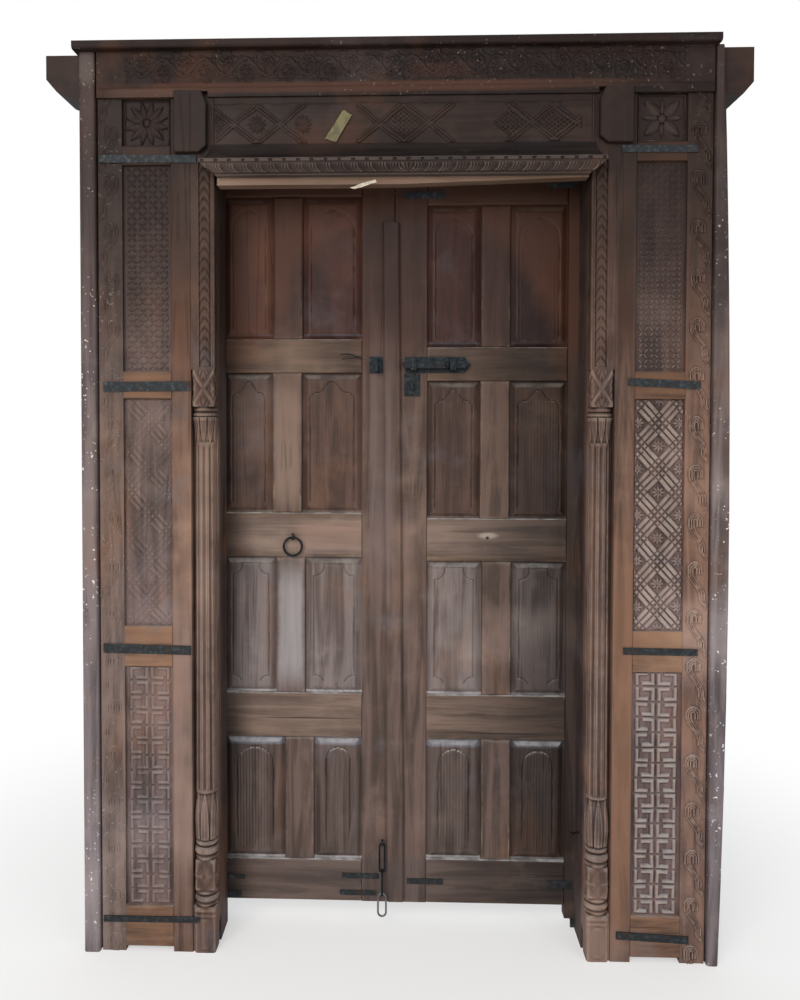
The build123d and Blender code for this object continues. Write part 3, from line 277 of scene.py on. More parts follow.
class Finish(Tree):
    """A material in the making."""

    def __init__(self, name):
        self.material = bpy.data.materials.new(name)
        self.material.use_nodes = True
        super().__init__(self.material.node_tree)
        self.place = self.node("ShaderNodeTexCoord", {}, {}, out="Object")
        self.x, self.y, self.z = self.parts(self.place)

    def parts(self, vector):
        return self.node("ShaderNodeSeparateXYZ", {}, {"Vector": vector}, out=None).values()

    def noise(self, scale, detail=3.0, roughness=0.55, where=None, twist=0.0):
        return self.node("ShaderNodeTexNoise", {}, {
            "Vector": where or self.place, "Scale": scale, "Detail": detail, "Roughness": roughness,
            "Distortion": twist})

    def stretched(self, scale):
        return self.node("ShaderNodeMapping", {}, {"Vector": self.place, "Scale": scale})

    def mix(self, first, second, share, blend="MIX"):
        return self.node("ShaderNodeMix", {"data_type": "RGBA", "blend_type": blend},
                         {0: share, 6: first, 7: second}, out=2)

    def shade(self, colour, share, value):
        """Multiplies a colour by value, one number or a tone, where share says so."""
        tone = value if isinstance(value, tuple) else (value, value, value, 1)
        return self.mix(colour, tone, share, "MULTIPLY")

    def attribute(self, name):
        return self.node("ShaderNodeAttribute", {"attribute_name": name}, {}, out="Fac")

    def spot(self, x, z, half_wide, half_tall):
        """A stain with an uneven edge, 1 in its middle. The place is in millimetres of the shared frame."""
        a = (self.x - x / 1000) * (1000 / half_wide)
        b = (self.z - z / 1000) * (1000 / half_tall)
        far = (a * a + b * b) ** 0.5 + (self.noise(14, 3) - 0.5) * 0.5
        return far.between(1.0, 0.4)

    def band(self, z, half_tall, softness=0.35):
        """A stretch of the height, 1 inside and fading over its ends."""
        far = abs(self.z - z / 1000) * (1000 / half_tall)
        return far.between(1.0 + softness * 0.3, 1.0 - softness)

    def patch(self, x, z, half_wide, half_tall):
        """A worn or stained area with straight grain ends and an uneven edge."""
        wander = (self.noise(17, 4) - 0.5) * 0.35
        a = abs(self.x - x / 1000) * (1000 / half_wide) + wander
        return a.between(1.1, 0.6) * self.band(z, half_tall, 0.5)

    def surface(self, colour, rough, bumps=(), metallic=0.0):
        sockets = {"Base Color": colour, "Roughness": rough, "Metallic": metallic,
                   "Specular IOR Level": SPECULAR}
        for height, strength, distance in bumps:
            bump = {"Height": height, "Strength": strength, "Distance": distance}
            if "Normal" in sockets:
                bump["Normal"] = sockets["Normal"]
            sockets["Normal"] = self.node("ShaderNodeBump", {}, bump)
        return self.node("ShaderNodeBsdfPrincipled", {}, sockets)

    def done(self, surface):
        self.node("ShaderNodeOutputMaterial", {}, {"Surface": surface}, out=None)
        return self.material


# Finishes. Heights inside them are in metres, and the places and sizes of stains in millimetres.

SPECULAR = 0.18
GRAIN = {"x": (0.07, 1, 1), "z": (1, 1, 0.07)}
SPLITS = {"x": (0.035, 1, 1), "z": (1, 1, 0.035)}
MOTTLES = (("855c42", 4.4, (1.3, 1, 0.8), 0.5, 0.7), ("625e62", 5.6, (0.9, 1, 1.2), 0.53, 0.72))
PROUD, WORN_EDGE, DUST, FILM, FLECK = "b0a297", "a08a78", "a9a39c", "86705f", "d8d2cb"
HEAD_SHADE, ARCH_LIGHT_TONE = "2f2623", "744b36"
UPPER_SHADE, HAZE = (0.34, 0.262, 0.232, 1), (1.0, 1.05, 1.14, 1)
CORNER_X, CORNER_Z, CORNER_REACH = 0.045, 1.55, (0.40, 0.44)


def paint(code, gain=1.0):
    """A colour from its usual six-digit code."""
    values = [int(code[k:k + 2], 16) / 255 for k in (0, 2, 4)]
    linear = [v / 12.92 if v <= 0.04045 else ((v + 0.055) / 1.055) ** 2.4 for v in values]
    return (*(gain * v for v in linear), 1.0)


class Grain(Finish):
    """Old teak in the making: what its tones, cracks and bumps share."""

    def __init__(self, name, along):
        super().__init__(name)
        where = self.stretched(GRAIN[along])
        self.streak = self.noise(34, 5, 0.6, where, 0.6)
        self.fibre = self.noise(240, 4, 0.65, where)
        self.blotch = self.noise(3.1, 3)
        self.cloud = self.noise(11, 4, 0.6)
        self.fine = self.noise(40, 3)
        split = self.noise(13, 2, 0.4, self.stretched(SPLITS[along]), 0.3)
        self.crack = abs(split - 0.5).between(0.012, 0.002) * self.noise(5, 1).between(0.52, 0.6) * 0.35
        self.cut = self.attribute("cut")
        low_down = 1.0 - self.z.between(1.5, 2.1) * 0.7
        self.raised = self.cut.between(0.25, 1.6) * self.fine.between(0.35, 0.6) * low_down

    def dust_on(self, ledge):
        """Where dust settles: on what faces up by at least ledge, and not in deep cuts."""
        _, _, up = self.parts(self.node("ShaderNodeNewGeometry", {}, {}, out="Normal"))
        patchy = 0.35 + self.noise(26, 3).between(0.35, 0.65) * 0.65
        return up.between(ledge, ledge + 0.4) * patchy * self.cut.between(-2.45, -1.6)


def grain_tones(f, tones):
    """Dark to light along the streaks, with clouds and two faint tints."""
    dark, mid, light = (paint(tone) for tone in tones)
    colour = f.mix(dark, mid, f.streak.between(0.36, 0.62))
    colour = f.mix(colour, light, f.blotch.between(0.48, 0.72) * 0.7 + f.cloud.between(0.5, 0.8) * 0.35)
    for tint, scale, stretch, low, high in MOTTLES:
        mottle = f.noise(scale, 4, 0.6, f.stretched(stretch)).between(low, high)
        colour = f.mix(colour, paint(tint), mottle * 0.32)
    return colour


def stained(f, colour, bands, patches, spots, head, shadow):
    for z, half_tall, tone, amount in bands:
        streaked = f.mix(paint(tone, 0.72), paint(tone, 1.18), f.streak.between(0.35, 0.65))
        colour = f.mix(colour, streaked, f.band(z, half_tall) * amount)
    for *area, tone, amount in patches:
        colour = f.mix(colour, paint(tone), f.patch(*area) * amount * (0.55 + f.streak * 0.8))
    for *area, tone, amount in spots:
        colour = f.mix(colour, paint(tone), f.spot(*area) * amount * (0.6 + f.streak * 0.7))
    if head:
        colour = f.mix(colour, paint(HEAD_SHADE), f.z.between(1.3, 2.2) * head)
    for first, last, amount in shadow:
        colour = f.shade(colour, f.x.between(first / 1000, last / 1000) * amount, 0.25)
    return colour


def carved_tones(f, colour, relief, worn):
    """Dirt in pores and cracks, dirt and painted shade in cuts and on the ground between carvings, and paler
    wood on worn edges and on what stands proud, there partly a painted highlight.
    """
    colour = f.shade(colour, f.fibre.between(0.55, 0.8) * 0.55, 0.62)
    colour = f.shade(colour, f.crack, 0.25)
    # Darker in cuts and hollows: partly dirt, partly painted shade.
    colour = f.shade(colour, f.cut.between(-0.15, -2.2) * 0.85, 0.28)
    if relief:
        proud = f.attribute("stand").between(0.25, 0.95)
        # Painted shade on the ground between carvings; paler tops, partly wear and partly a painted
        # highlight.
        colour = f.shade(colour, (1.0 - proud) * relief * 0.7, 0.42)
        rubbed_and_lit = proud * (0.3 + f.fine * 0.7) * relief * (1.0 - f.z.between(1.4, 2.05) * 0.9)
        colour = f.mix(colour, paint(PROUD), rubbed_and_lit)
    return f.mix(colour, paint(WORN_EDGE), f.raised * worn)


def weathered(f, colour, settled, specks, corner):
    """Dust on ledges, a thin film, flecks, grit, and warm brown painted light beyond a wide arch over both
    leaves.
    """
    colour = f.mix(colour, paint(DUST), settled)
    colour = f.mix(colour, paint(FILM), f.noise(6, 5, 0.7).between(0.56, 0.75) * 0.12)
    if specks:
        fleck = f.noise(120, 2, 0.5).between(0.665, 0.7) * f.noise(7, 2).between(0.45, 0.6)
        colour = f.mix(colour, paint(FLECK), fleck * specks)
    colour = f.shade(colour, f.noise(420, 2, 0.6).between(0.6, 0.75) * 0.35, 0.55)
    # Painted light: warmer, paler wood beyond a wide arch over the upper leaves.
    if corner:
        a = (f.x - CORNER_X) * (1 / CORNER_REACH[0])
        b = (f.z.most(CORNER_Z) - CORNER_Z) * (1 / CORNER_REACH[1])
        far = (a * a + b * b) ** 0.5 + (f.cloud - 0.5) * 0.25
        outside = far.between(0.93, 1.12) * f.z.between(1.5, 1.66)
        colour = f.mix(colour, paint(ARCH_LIGHT_TONE), outside * corner * (0.5 + f.blotch * 0.9))
    return colour


def wood(name, along, tones, spots=(), patches=(), bands=(), head=0.0, dust=0.35, rough=0.62, relief=0.0,
         worn=0.3, specks=0.0, shadow=(), gloom=0.9, ledge=0.45, corner=0.0):
    """Old oiled teak: streaks and pores along the grain, dirt and painted shade in the cuts, pale worn edges,
    dust on ledges.

    Spots and patches are x, z, half width, half height, tone and strength. Bands are z, half height, tone
    and strength, and shadow is x at its start, x at its end and strength. Head darkens towards the head,
    relief paints shade on the ground between carvings and a paler top, partly wear and partly a painted
    highlight, on what stands proud, and gloom is a painted brown shade over the upper part."""
    f = Grain(name, along)
    settled = f.dust_on(ledge)
    colour = stained(f, grain_tones(f, tones), bands, patches, spots, head, shadow)
    colour = weathered(f, carved_tones(f, colour, relief, worn), settled * dust, specks, corner)
    # Painted brown shade over the upper part, then a bluer tint low down.
    colour = f.shade(colour, f.z.between(1.0, 2.3) * gloom, UPPER_SHADE)
    colour = f.shade(colour, f.z.between(1.35, 0.6), HAZE)
    roughness = (rough + (f.streak - 0.5) * 0.25 + settled * 0.25 - f.raised * 0.12).least(0.95).most(0.3)
    height = f.fibre * 0.5 + f.streak * 0.8 - f.crack * 3.0
    return f.done(f.surface(colour, roughness, [(height, 0.55, 0.0012), (f.cloud, 0.35, 0.003)]))


def iron(name, base, rust, pale, rust_share, rough, metallic=0.75):
    """Forged iron: hammered, rusty in patches, paler in others."""
    f = Finish(name)
    patch = f.noise(38, 5, 0.65)
    grain = f.noise(260, 4, 0.6)
    colour = f.mix(paint(base), paint(pale), f.noise(90, 4).between(0.45, 0.75) * 0.6)
    colour = f.mix(colour, paint(rust), patch.between(0.52, 0.7) * rust_share)
    colour = f.shade(colour, grain.between(0.5, 0.75) * 0.5, 0.5)
    hammered = f.node("ShaderNodeTexVoronoi", {"feature": "SMOOTH_F1"}, {"Vector": f.place, "Scale": 95.0})
    roughness = (rough + (patch - 0.5) * 0.4).least(0.95).most(0.25)
    return f.done(f.surface(colour, roughness, [(hammered, 0.4, 0.0015), (grain, 0.4, 0.0006)], metallic))


def plain(name, tone, other, scale, rough):
    f = Finish(name)
    fine = f.noise(scale * 9, 3)
    colour = f.mix(paint(tone), paint(other), f.noise(scale, 4).between(0.4, 0.65))
    colour = f.shade(colour, fine.between(0.5, 0.8) * 0.5, 0.6)
    return f.done(f.surface(colour, rough, [(fine, 0.5, 0.0006)]))


BROWN = ("47352c", "6d5244", "8f715f")
DEEP = ("332824", "463935", "5a4a42")

head_wood = wood("head_wood", "x", ("241a17", "352722", "47352e"), dust=0.12, relief=0.12, worn=0.14,
                 specks=0.3, patches=[(fx(LEFT, 150), 2284, 620, 16, "75513f", 0.65),
                                      (fx(LEFT, 640), 2272, 130, 16, "7d6252", 0.6),
                                      (fx(RIGHT, 330), 2287, 330, 12, "6b4e40", 0.6),
                                      (fx(RIGHT, 100), 2325, 90, 20, "5c4038", 0.5)])
frieze_wood = wood("frieze_wood", "x", ("3a2d27", "50413a", "67544c"), dust=0.15, relief=0.4)
cornice_wood = wood("cornice_wood", "x", ("332927", "4c3e39", "675750"), dust=0.3, relief=0.8, worn=0.6,
                    gloom=0.45)
upright_wood = wood("upright_wood", "z", BROWN, head=0.85, patches=[
    (fx(RIGHT, INNER_STILE), 1790, 26, 200, "4d3325", 0.85),
    (fx(LEFT, INNER_STILE), 1800, 30, 320, "74492f", 0.6),
    (fx(RIGHT, INNER_STILE), 620, 30, 560, "7d5942", 0.7),
    (fx(LEFT, INNER_STILE), 560, 30, 420, "8b7469", 0.4)])
strip_wood = wood("strip_wood", "z", ("4d4240", "756764", "988a85"), head=0.5, specks=0.9,
                  spots=[(fx(LEFT, 822), 2338, 40, 55, "a6a09c", 0.8)])
carved_wood = {
    LEFT: wood("left_carved_wood", "z", ("4d3f3a", "6f5b55", "917b74"), head=0.85, dust=0.4, relief=0.22,
               worn=0.22),
    RIGHT: wood("right_carved_wood", "z", ("53443f", "79625c", "9d847c"), head=0.85, dust=0.6, relief=0.6,
                worn=0.4)}
border_wood = {
    LEFT: wood("left_border_wood", "z", ("54443c", "756056", "958075"), head=0.85, dust=0.35, relief=0.15,
               worn=0.2, specks=0.2),
    RIGHT: wood("right_border_wood", "z", ("5f483e", "896857", "ab8a77"), head=0.85, dust=0.4, relief=0.4,
                worn=0.4, specks=0.1)}
column_wood = wood("column_wood", "z", ("47362f", "6a5145", "8e7465"), head=0.7, dust=0.4, relief=0.15,
                   worn=0.3)
rail_wood = wood("rail_wood", "x", ("4d382c", "755540", "98745a"), head=0.7)
leaf_upright_wood = wood(
    "leaf_upright_wood", "z", ("46372f", "645046", "846c5f"), head=0.45, corner=0.4,
    bands=[(1830, 240, "4c322b", 0.75), (130, 70, "51443f", 0.6)],
    patches=[(lx(LEFT, 290), 845, 40, 190, "938a86", 0.85), (lx(LEFT, 300), 1350, 40, 190, "8a7365", 0.6),
             (lx(LEFT, 35), 1300, 40, 420, "6f5d5a", 0.5)],
    shadow=[(-390, -480, 1.0), (-430, -520, 0.7), (200, 480, 0.8)])
leaf_rail_wood = wood(
    "leaf_rail_wood", "x", ("4a3b31", "6f594a", "8f7968"), head=0.5, corner=0.4, dust=0.95,
    bands=[(2080, 50, "5a3e33", 0.7), (130, 70, "544640", 0.75), (1100, 60, "86736a", 0.35),
           (592, 60, "7d6658", 0.4)],
    patches=[(lx(LEFT, 180), 1100, 110, 45, "8d7062", 0.55)],
    shadow=[(20, 430, 0.85), (-380, -470, 0.9)],
    spots=[(lx(RIGHT, 262), 1101, 40, 13, "c0b0a0", 0.75), (lx(RIGHT, 259), 1095, 7, 6, "0f0a08", 1.0),
           (lx(RIGHT, 210), 1112, 90, 5, "4a3a32", 0.5), (lx(LEFT, 240), 583, 190, 2.5, "241a16", 0.8),
           (lx(RIGHT, 300), 546, 180, 2.5, "241a16", 0.8)])
rear_wood = wood("rear_wood", "z", DEEP, dust=0.2)
lintel_wood = wood("lintel_wood", "x", DEEP, dust=0.3)
pale_lath = wood("pale_lath", "x", ("75614f", "8f7868", "a8927f"), dust=0.3, gloom=0.75)
strap_iron = iron("strap_iron", "2b2d2f", "47362e", "50575a", 0.5, 0.65, 0.4)
black_iron = iron("black_iron", "1f2326", "3d2c24", "3d4245", 0.35, 0.5)
link_iron = iron("link_iron", "6d7072", "5a4a40", "9a9c9c", 0.2, 0.42)


# Carving. Each function gives how far the wood stands above its ground, in millimetres.

def roof(u, v, u_ends, v_ends, half, tall):
    """A bar with a sharp ridge and sloping ends round a straight run from one end to the other."""
    du = np.maximum(np.maximum(u_ends[0] - u, u - u_ends[1]), 0)
    dv = np.maximum(np.maximum(v_ends[0] - v, v - v_ends[1]), 0)
    return tall * np.clip((half - np.maximum(du, dv)) / (half * 0.85), 0, 1)


def line_rise(distance, half, tall):
    """A rounded ridge at a distance from its middle line."""
    return tall * np.sqrt(np.clip(1 - (distance / half) ** 2, 0, 1))


def off_line(value, pitch):
    """How far a value is from the nearest of evenly spaced lines."""
    return value - np.round(value / pitch) * pitch


def petals(u, v, count, reach, core, turn=0.0, tall=6.5, width=0.8):
    """A flower of pointed petals with a ridge, round a boss."""
    r, angle = np.hypot(u, v), np.arctan2(v, u) + turn
    step = 2 * math.pi / count
    off = (angle + step / 2) % step - step / 2
    along = np.clip((r - core) / (reach - core), 0, 1)
    half = np.sin(along ** 0.75 * math.pi) ** 0.8 * step * width * (core + reach) / 4.4
    leaf = tall * np.clip(1 - np.abs(off * r) / np.maximum(half, 0.01), 0, 1) ** 0.7
    return np.maximum(leaf * (r > core) * (r < reach), line_rise(r, core, tall))


FRET_CELL, FRET_ROWS, FRET_BAR, FRET_TALL = 57.0, 16, 13.0, 7


def fret(u, v):
    """The key fret: four bars in each half row, mirrored about the middle and turned in every other row."""
    pitch = (FRET[1] - FRET[0]) / FRET_ROWS
    row = np.floor(v / pitch)
    s = v - row * pitch
    t = FRET_CELL - np.abs(u)
    t = np.where(row % 2 == 1, t, FRET_CELL - t)
    half = FRET_BAR / 2
    low, high, gap = half + 0.8, pitch - half - 0.8, 1.2
    near, far = half + gap, FRET_CELL - half - gap
    bars = (((near, near), (low, high)), ((near, FRET_CELL * 0.55), (high, high)),
            ((far, far), (low, high)), ((FRET_CELL * 0.42, far), (low, low)))
    return np.maximum.reduce([roof(t, s, t_ends, s_ends, half, FRET_TALL) for t_ends, s_ends in bars])


LATTICE_PERIOD, LATTICE_ANGLE, REED = 120.0, math.radians(48), 14.0


def lattice(u, v):
    """Bands of three reeds that cross on the slant, with studs on the crossings and flowers between."""
    spacing = LATTICE_PERIOD * math.cos(LATTICE_ANGLE)
    p = u * math.sin(LATTICE_ANGLE) - v * math.cos(LATTICE_ANGLE)
    q = u * math.sin(LATTICE_ANGLE) + v * math.cos(LATTICE_ANGLE)
    dp, dq = off_line(p, spacing), off_line(q, spacing)
    in_p, in_q = np.abs(dp) < REED * 1.5, np.abs(dq) < REED * 1.5
    rp, rq = np.abs(off_line(dp, REED)), np.abs(off_line(dq, REED))
    reed_p, reed_q = line_rise(rp, REED * 0.46, 4.4), line_rise(rq, REED * 0.46, 7.0)
    stud = 7.0 * np.clip(1.15 - np.maximum(rp, rq) / (REED * 0.46), 0, 1)
    near_p, near_q = off_line(p - spacing / 2, spacing), off_line(q - spacing / 2, spacing)
    across = (near_p + near_q) / (2 * math.sin(LATTICE_ANGLE))
    along = (near_q - near_p) / (2 * math.cos(LATTICE_ANGLE))
    flower = petals(across, along, 8, 17, 3.5, tall=4.5, width=1.1)
    rise = np.where(in_p & in_q, stud, np.where(in_p, reed_p, np.where(in_q, reed_q, flower)))
    return np.maximum(rise, 0)


def rosette(side):
    """Twelve petals in a lobed round on the left, four broad and four narrow ones on the right."""
    def height(u, v):
        if side == LEFT:
            far = 52 + 9 * np.abs(np.sin(2 * np.arctan2(v, u)))
            rise = petals(u * 54 / far, v * 54 / far, 12, 54, 9, 0.26, 7, 1.25)
        else:
            rise = np.maximum(petals(u, v, 4, 62, 11, math.pi / 4, 7, 0.62),
                              petals(u, v, 4, 50, 11, 0, 6, 0.3))
        ring = line_rise(np.abs(np.maximum(np.abs(u), np.abs(v)) - 58.5), 2.2, 4)
        return np.maximum(rise, ring)
    return height


WAVE_PITCH, WAVE_CREST, WAVE_RINGS, WAVE_MIDDLE = 126.0, 24.0, (5.0, 11.0, 17.0), -3.0
WAVE_SWEEP, WAVE_EXIT, WAVE_TAIL, WAVE_HALF = 30.0, 16.0, 15.0, 28
NOWHERE = 1e6


def wave(u, v):
    """A running scroll: nested arches whose outer legs sweep across and leave above the next arch."""
    w = np.mod(v, WAVE_PITCH)
    w = np.where(w > WAVE_CREST, w - WAVE_PITCH, w)
    sweep = WAVE_SWEEP * soft_step(-w, 8, 68) + WAVE_EXIT * soft_step(-w, 76, 104)
    nearest = np.full(u.shape, NOWHERE)
    for ring in WAVE_RINGS:
        arch = np.abs(np.hypot(u - WAVE_MIDDLE, np.maximum(w, 0)) - ring)
        leg = np.where(w < 0, np.abs(u - (WAVE_MIDDLE - ring + sweep)), NOWHERE)
        tail = np.where((w < 0) & (w > -WAVE_TAIL), np.abs(u - (WAVE_MIDDLE + ring)), NOWHERE)
        nearest = np.minimum(nearest, np.minimum(np.where(w >= 0, arch, leg), tail))
    return line_rise(nearest, 2.5, 4.2) * (np.abs(u) < WAVE_HALF)


SCROLL_PITCH, SCROLL_SWING, SCROLL_HALF = 108.0, 22.0, 42


def arabesque(u, v):
    """Low dense scrolls that fill the head board: a winding stem, curls in its bends and leaves between."""
    phase = u * 2 * math.pi / SCROLL_PITCH
    slope = SCROLL_SWING * 2 * math.pi / SCROLL_PITCH * np.cos(phase)
    off = (v - SCROLL_SWING * np.sin(phase)) / np.sqrt(1 + slope ** 2)
    rise = line_rise(np.abs(off), 4.0, 4.2)
    for hand, bend in ((1, 0.25), (-1, 0.75)):
        for shift in (-1, 0, 1):
            du = u - (np.floor(u / SCROLL_PITCH) + bend + shift) * SCROLL_PITCH
            dv = v + hand * 8
            r, angle = np.hypot(du, dv), np.arctan2(dv, du) * hand
            bloom = petals(du, dv, 7, 15, 4.5, tall=4.5, width=1.0)
            curl = line_rise(np.abs(r - 20 - angle * 1.8), 2.4, 3.6) * (r < 27)
            spray = line_rise(np.abs((r - 31) * 0.8 + 4 * np.sin(angle * 6)), 2.6, 3.2)
            spray = spray * (np.abs(off) > 5) * (r < 40) * (r > 25)
            rise = np.maximum.reduce([rise, bloom, curl, spray])
    return rise * (np.abs(v) < SCROLL_HALF)


FRIEZE_MIDDLE, FRIEZE_TALL, LOZENGE, NET = 2191.0, 97.0, 122.0, 9
# Each group of the chain has its ends, where its lines cross, the middles of its lozenges and their filling.
LOZENGE_GROUPS = (
    ((-484, -206), (-438, -316), (-484, -377, -256), "flower"),
    ((-116, 138), (-58, 70), (6,), "net"),
    ((222, 461), (337, 449), (281, 395), "net"),
)


def frieze(across, up):
    x, v = across - FRAME_X, up - FRIEZE_MIDDLE
    slope = FRIEZE_TALL / LOZENGE
    lean = math.hypot(1, slope)
    total = np.zeros_like(x)
    for (start, end), crossings, centres, kind in LOZENGE_GROUPS:
        rise = np.zeros_like(x)
        for centre in crossings:
            for hand in (1, -1):
                off = np.abs(v - hand * slope * (x - centre)) / lean
                rise = np.maximum(rise, line_rise(np.abs(off - 3.6), 3.2, 5.0))
        for centre in centres:
            du = x - centre
            if kind == "flower":
                filling = petals(du, v, 12, 25, 5, tall=4.6, width=1.0)
            else:
                lines = [np.abs(off_line((v + hand * slope * du) / lean, NET)) for hand in (-1, 1)]
                filling = line_rise(np.minimum(*lines), 2.4, 3.6)
            rise = np.maximum(rise, filling * (np.abs(du) / 46 + np.abs(v) / 36 < 1))
        total = np.maximum(total, rise * (x > start) * (x < end) * (np.abs(v) < FRIEZE_TALL / 2))
    rim = line_rise(np.abs(np.abs(v) - FRIEZE_TALL / 2 - 3), 2.0, 1.8)
    return np.maximum(total, rim)


# Boards with worn edges

def worn_board(seed, edge=3.0, swell=0.5):
    """Height function of a plain planed board: rounded, knocked edges and a slow swell."""
    def height(across, up):
        near = from_edge(across, up)
        reach = edge * (1 + 0.35 * ripple(across * 0.2, up, 140, seed))
        share = np.clip(1 - near / np.maximum(reach, 0.5), 0, 1)
        swollen = swell * ripple(across, up * 0.4, 160, seed + 1) * soft_step(near, 0, 12) - swell
        return swollen - edge * 0.75 * (1 - np.sqrt(1 - share ** 2))
    return height


def carved_board(pattern, centre, base, strength=1.0, seed=0, margin=0):
    """A pattern about a centre line, cut by hand: a little crooked, a little uneven and worn."""
    def height(across, up):
        u = across - centre + 0.8 * ripple(across, up, 90, seed)
        v = up - base + 0.8 * ripple(across, up, 110, seed + 1)
        rise = pattern(u, v) * (strength * (1 + 0.12 * ripple(across, up, 60, seed + 2)))
        if margin:
            rise = rise * (from_edge(across, up) > margin)
        return rise + 0.25 * ripple(across, up, 35, seed + 3)
    return height


# Jambs

def make_jamb(name, side):
    seed = 11 * side + 20
    worn_left = side == LEFT
    panel_ends = (fx(side, PANEL_IN), fx(side, PANEL_OUT))
    panels = (("fret", fret, FRET, FRET[0], 0.65 if worn_left else 1.0, 4, 1.9),
              ("lattice", lattice, LATTICE, sum(LATTICE) / 2, 0.4 if worn_left else 1.0, 3, 2.25),
              ("rosette", rosette(side), ROSETTE, sum(ROSETTE) / 2, 1.0, 3, 1.7))
    for kind, pattern, ends, base, strength, margin, step in panels:
        face = carved_board(pattern, sum(panel_ends) / 2, base, strength, seed, margin)
        panel = Shell()
        panel.board(panel_ends, ends, GROUND, PANEL_BACK, face, step)
        panel.build(f"carved_{name}_{kind}", carved_wood[side], "frame", [f"{name}_{kind}_panel"])
    make_flowers(name, side)

    border_ends = (fx(side, PANEL_OUT), fx(side, BORDER_OUT))
    scroll = carved_board(lambda u, v: wave(u * side, v) - 0.2, sum(border_ends) / 2, 30,
                          0.55 if worn_left else 1.0, seed + 5)
    border = Shell()
    border.board(border_ends, (0, LINTEL_BASE), 3, STILE_BACK, scroll, 2.2, tall=1.4)
    border.board((fx(side, BORDER_OUT), fx(side, STRIP_IN)), (0, LINTEL_BASE), GROUND, STILE_BACK,
                 flat_face, 60)
    border.build(f"carved_{name}_border", border_wood[side], "frame", [f"{name}_border_stile"])

    stile = Shell()
    stile.board((fx(side, COLUMN_OUT), fx(side, PANEL_IN)), (0, LINTEL_BASE), 0, STILE_BACK,
                worn_board(seed + 7, 3.5), 7, 5)
    stile.build(f"worn_{name}_inner_stile", upright_wood, "frame", [f"{name}_inner_stile"])
    rails = Shell()
    for n, ends in enumerate(JAMB_RAILS):
        rails.board(panel_ends, ends, 0, STILE_BACK, worn_board(seed + 20 + n, 3.5), 6, 5)
    rails.build(f"worn_{name}_jamb_rails", rail_wood, "frame", [f"{name}_jamb_rails"])
    make_column(name, side)


# Rows of a small motif, made with nodes

ROW_INPUTS = {
    "Geometry": "Geometry", "Motif": "Object", "Columns": "Int", "Rows": "Int", "Width": "Float",
    "Height": "Float", "Place": "Vector", "Turn": "Float", "Unevenness": "Float", "Seed": "Int",
    "Finish": "Material",
}


def rows_of_motif():
    """A node tree that sets a motif out in columns and rows on an upright board."""
    group = bpy.data.node_groups.new("rows_of_motif", "GeometryNodeTree")
    group.interface.new_socket("Geometry", in_out="OUTPUT", socket_type="NodeSocketGeometry")
    for label, kind in ROW_INPUTS.items():
        group.interface.new_socket(label, in_out="INPUT", socket_type="NodeSocket" + kind)
    tree = Tree(group)
    given = tree.node("NodeGroupInput", {}, {}, out=None)

    def random(low, high):
        return tree.node("FunctionNodeRandomValue", {"data_type": "FLOAT"},
                         {"Min": low, "Max": high, "Seed": given["Seed"]}, out="Value")

    sheet = tree.node("GeometryNodeMeshGrid", {}, {
        "Size X": given["Width"], "Size Y": given["Height"], "Vertices X": given["Columns"],
        "Vertices Y": given["Rows"]})
    upright = tree.node("GeometryNodeTransform", {}, {
        "Geometry": sheet, "Translation": given["Place"], "Rotation": (math.pi / 2, 0, 0)})
    motif = tree.node("GeometryNodeObjectInfo", {}, {"Object": given["Motif"]}, out="Geometry")
    turned = tree.node("ShaderNodeCombineXYZ", {}, {"Y": random(given["Turn"] * -1.0, given["Turn"])})
    rows = tree.node("GeometryNodeInstanceOnPoints", {}, {
        "Points": upright, "Instance": motif, "Rotation": turned,
        "Scale": random(1.0 - given["Unevenness"], 1.0)})
    real = tree.node("GeometryNodeRealizeInstances", {}, {"Geometry": rows})
    coated = tree.node("GeometryNodeSetMaterial", {}, {"Geometry": real, "Material": given["Finish"]})
    tree.node("NodeGroupOutput", {}, {0: coated}, out=None)
    return group


ROWS = rows_of_motif()


def repeat(name, **given):
    """Sets a motif out in rows and gives the result back as a plain mesh object."""
    holder = bpy.data.objects.new(name + "_rows", bpy.data.meshes.new(name + "_rows"))
    modifier = holder.modifiers.new("rows", "NODES")
    modifier.node_group = ROWS
    for item in ROWS.interface.items_tree:
        if item.in_out == "INPUT" and item.name in given:
            modifier[item.identifier] = given[item.name]
    return plain_object(holder, name)


FLOWER_PITCH, PETAL_HALF, PETAL_TALL, PETAL_BACK = 28.0, 4.4, 4.6, 2.5
PETAL_SIDE = ((0.28, 0.85), (0.5, 1), (0.72, 0.85))
PETAL_RIDGE = ((0.3, 0.8), (0.5, 1), (0.7, 0.8))


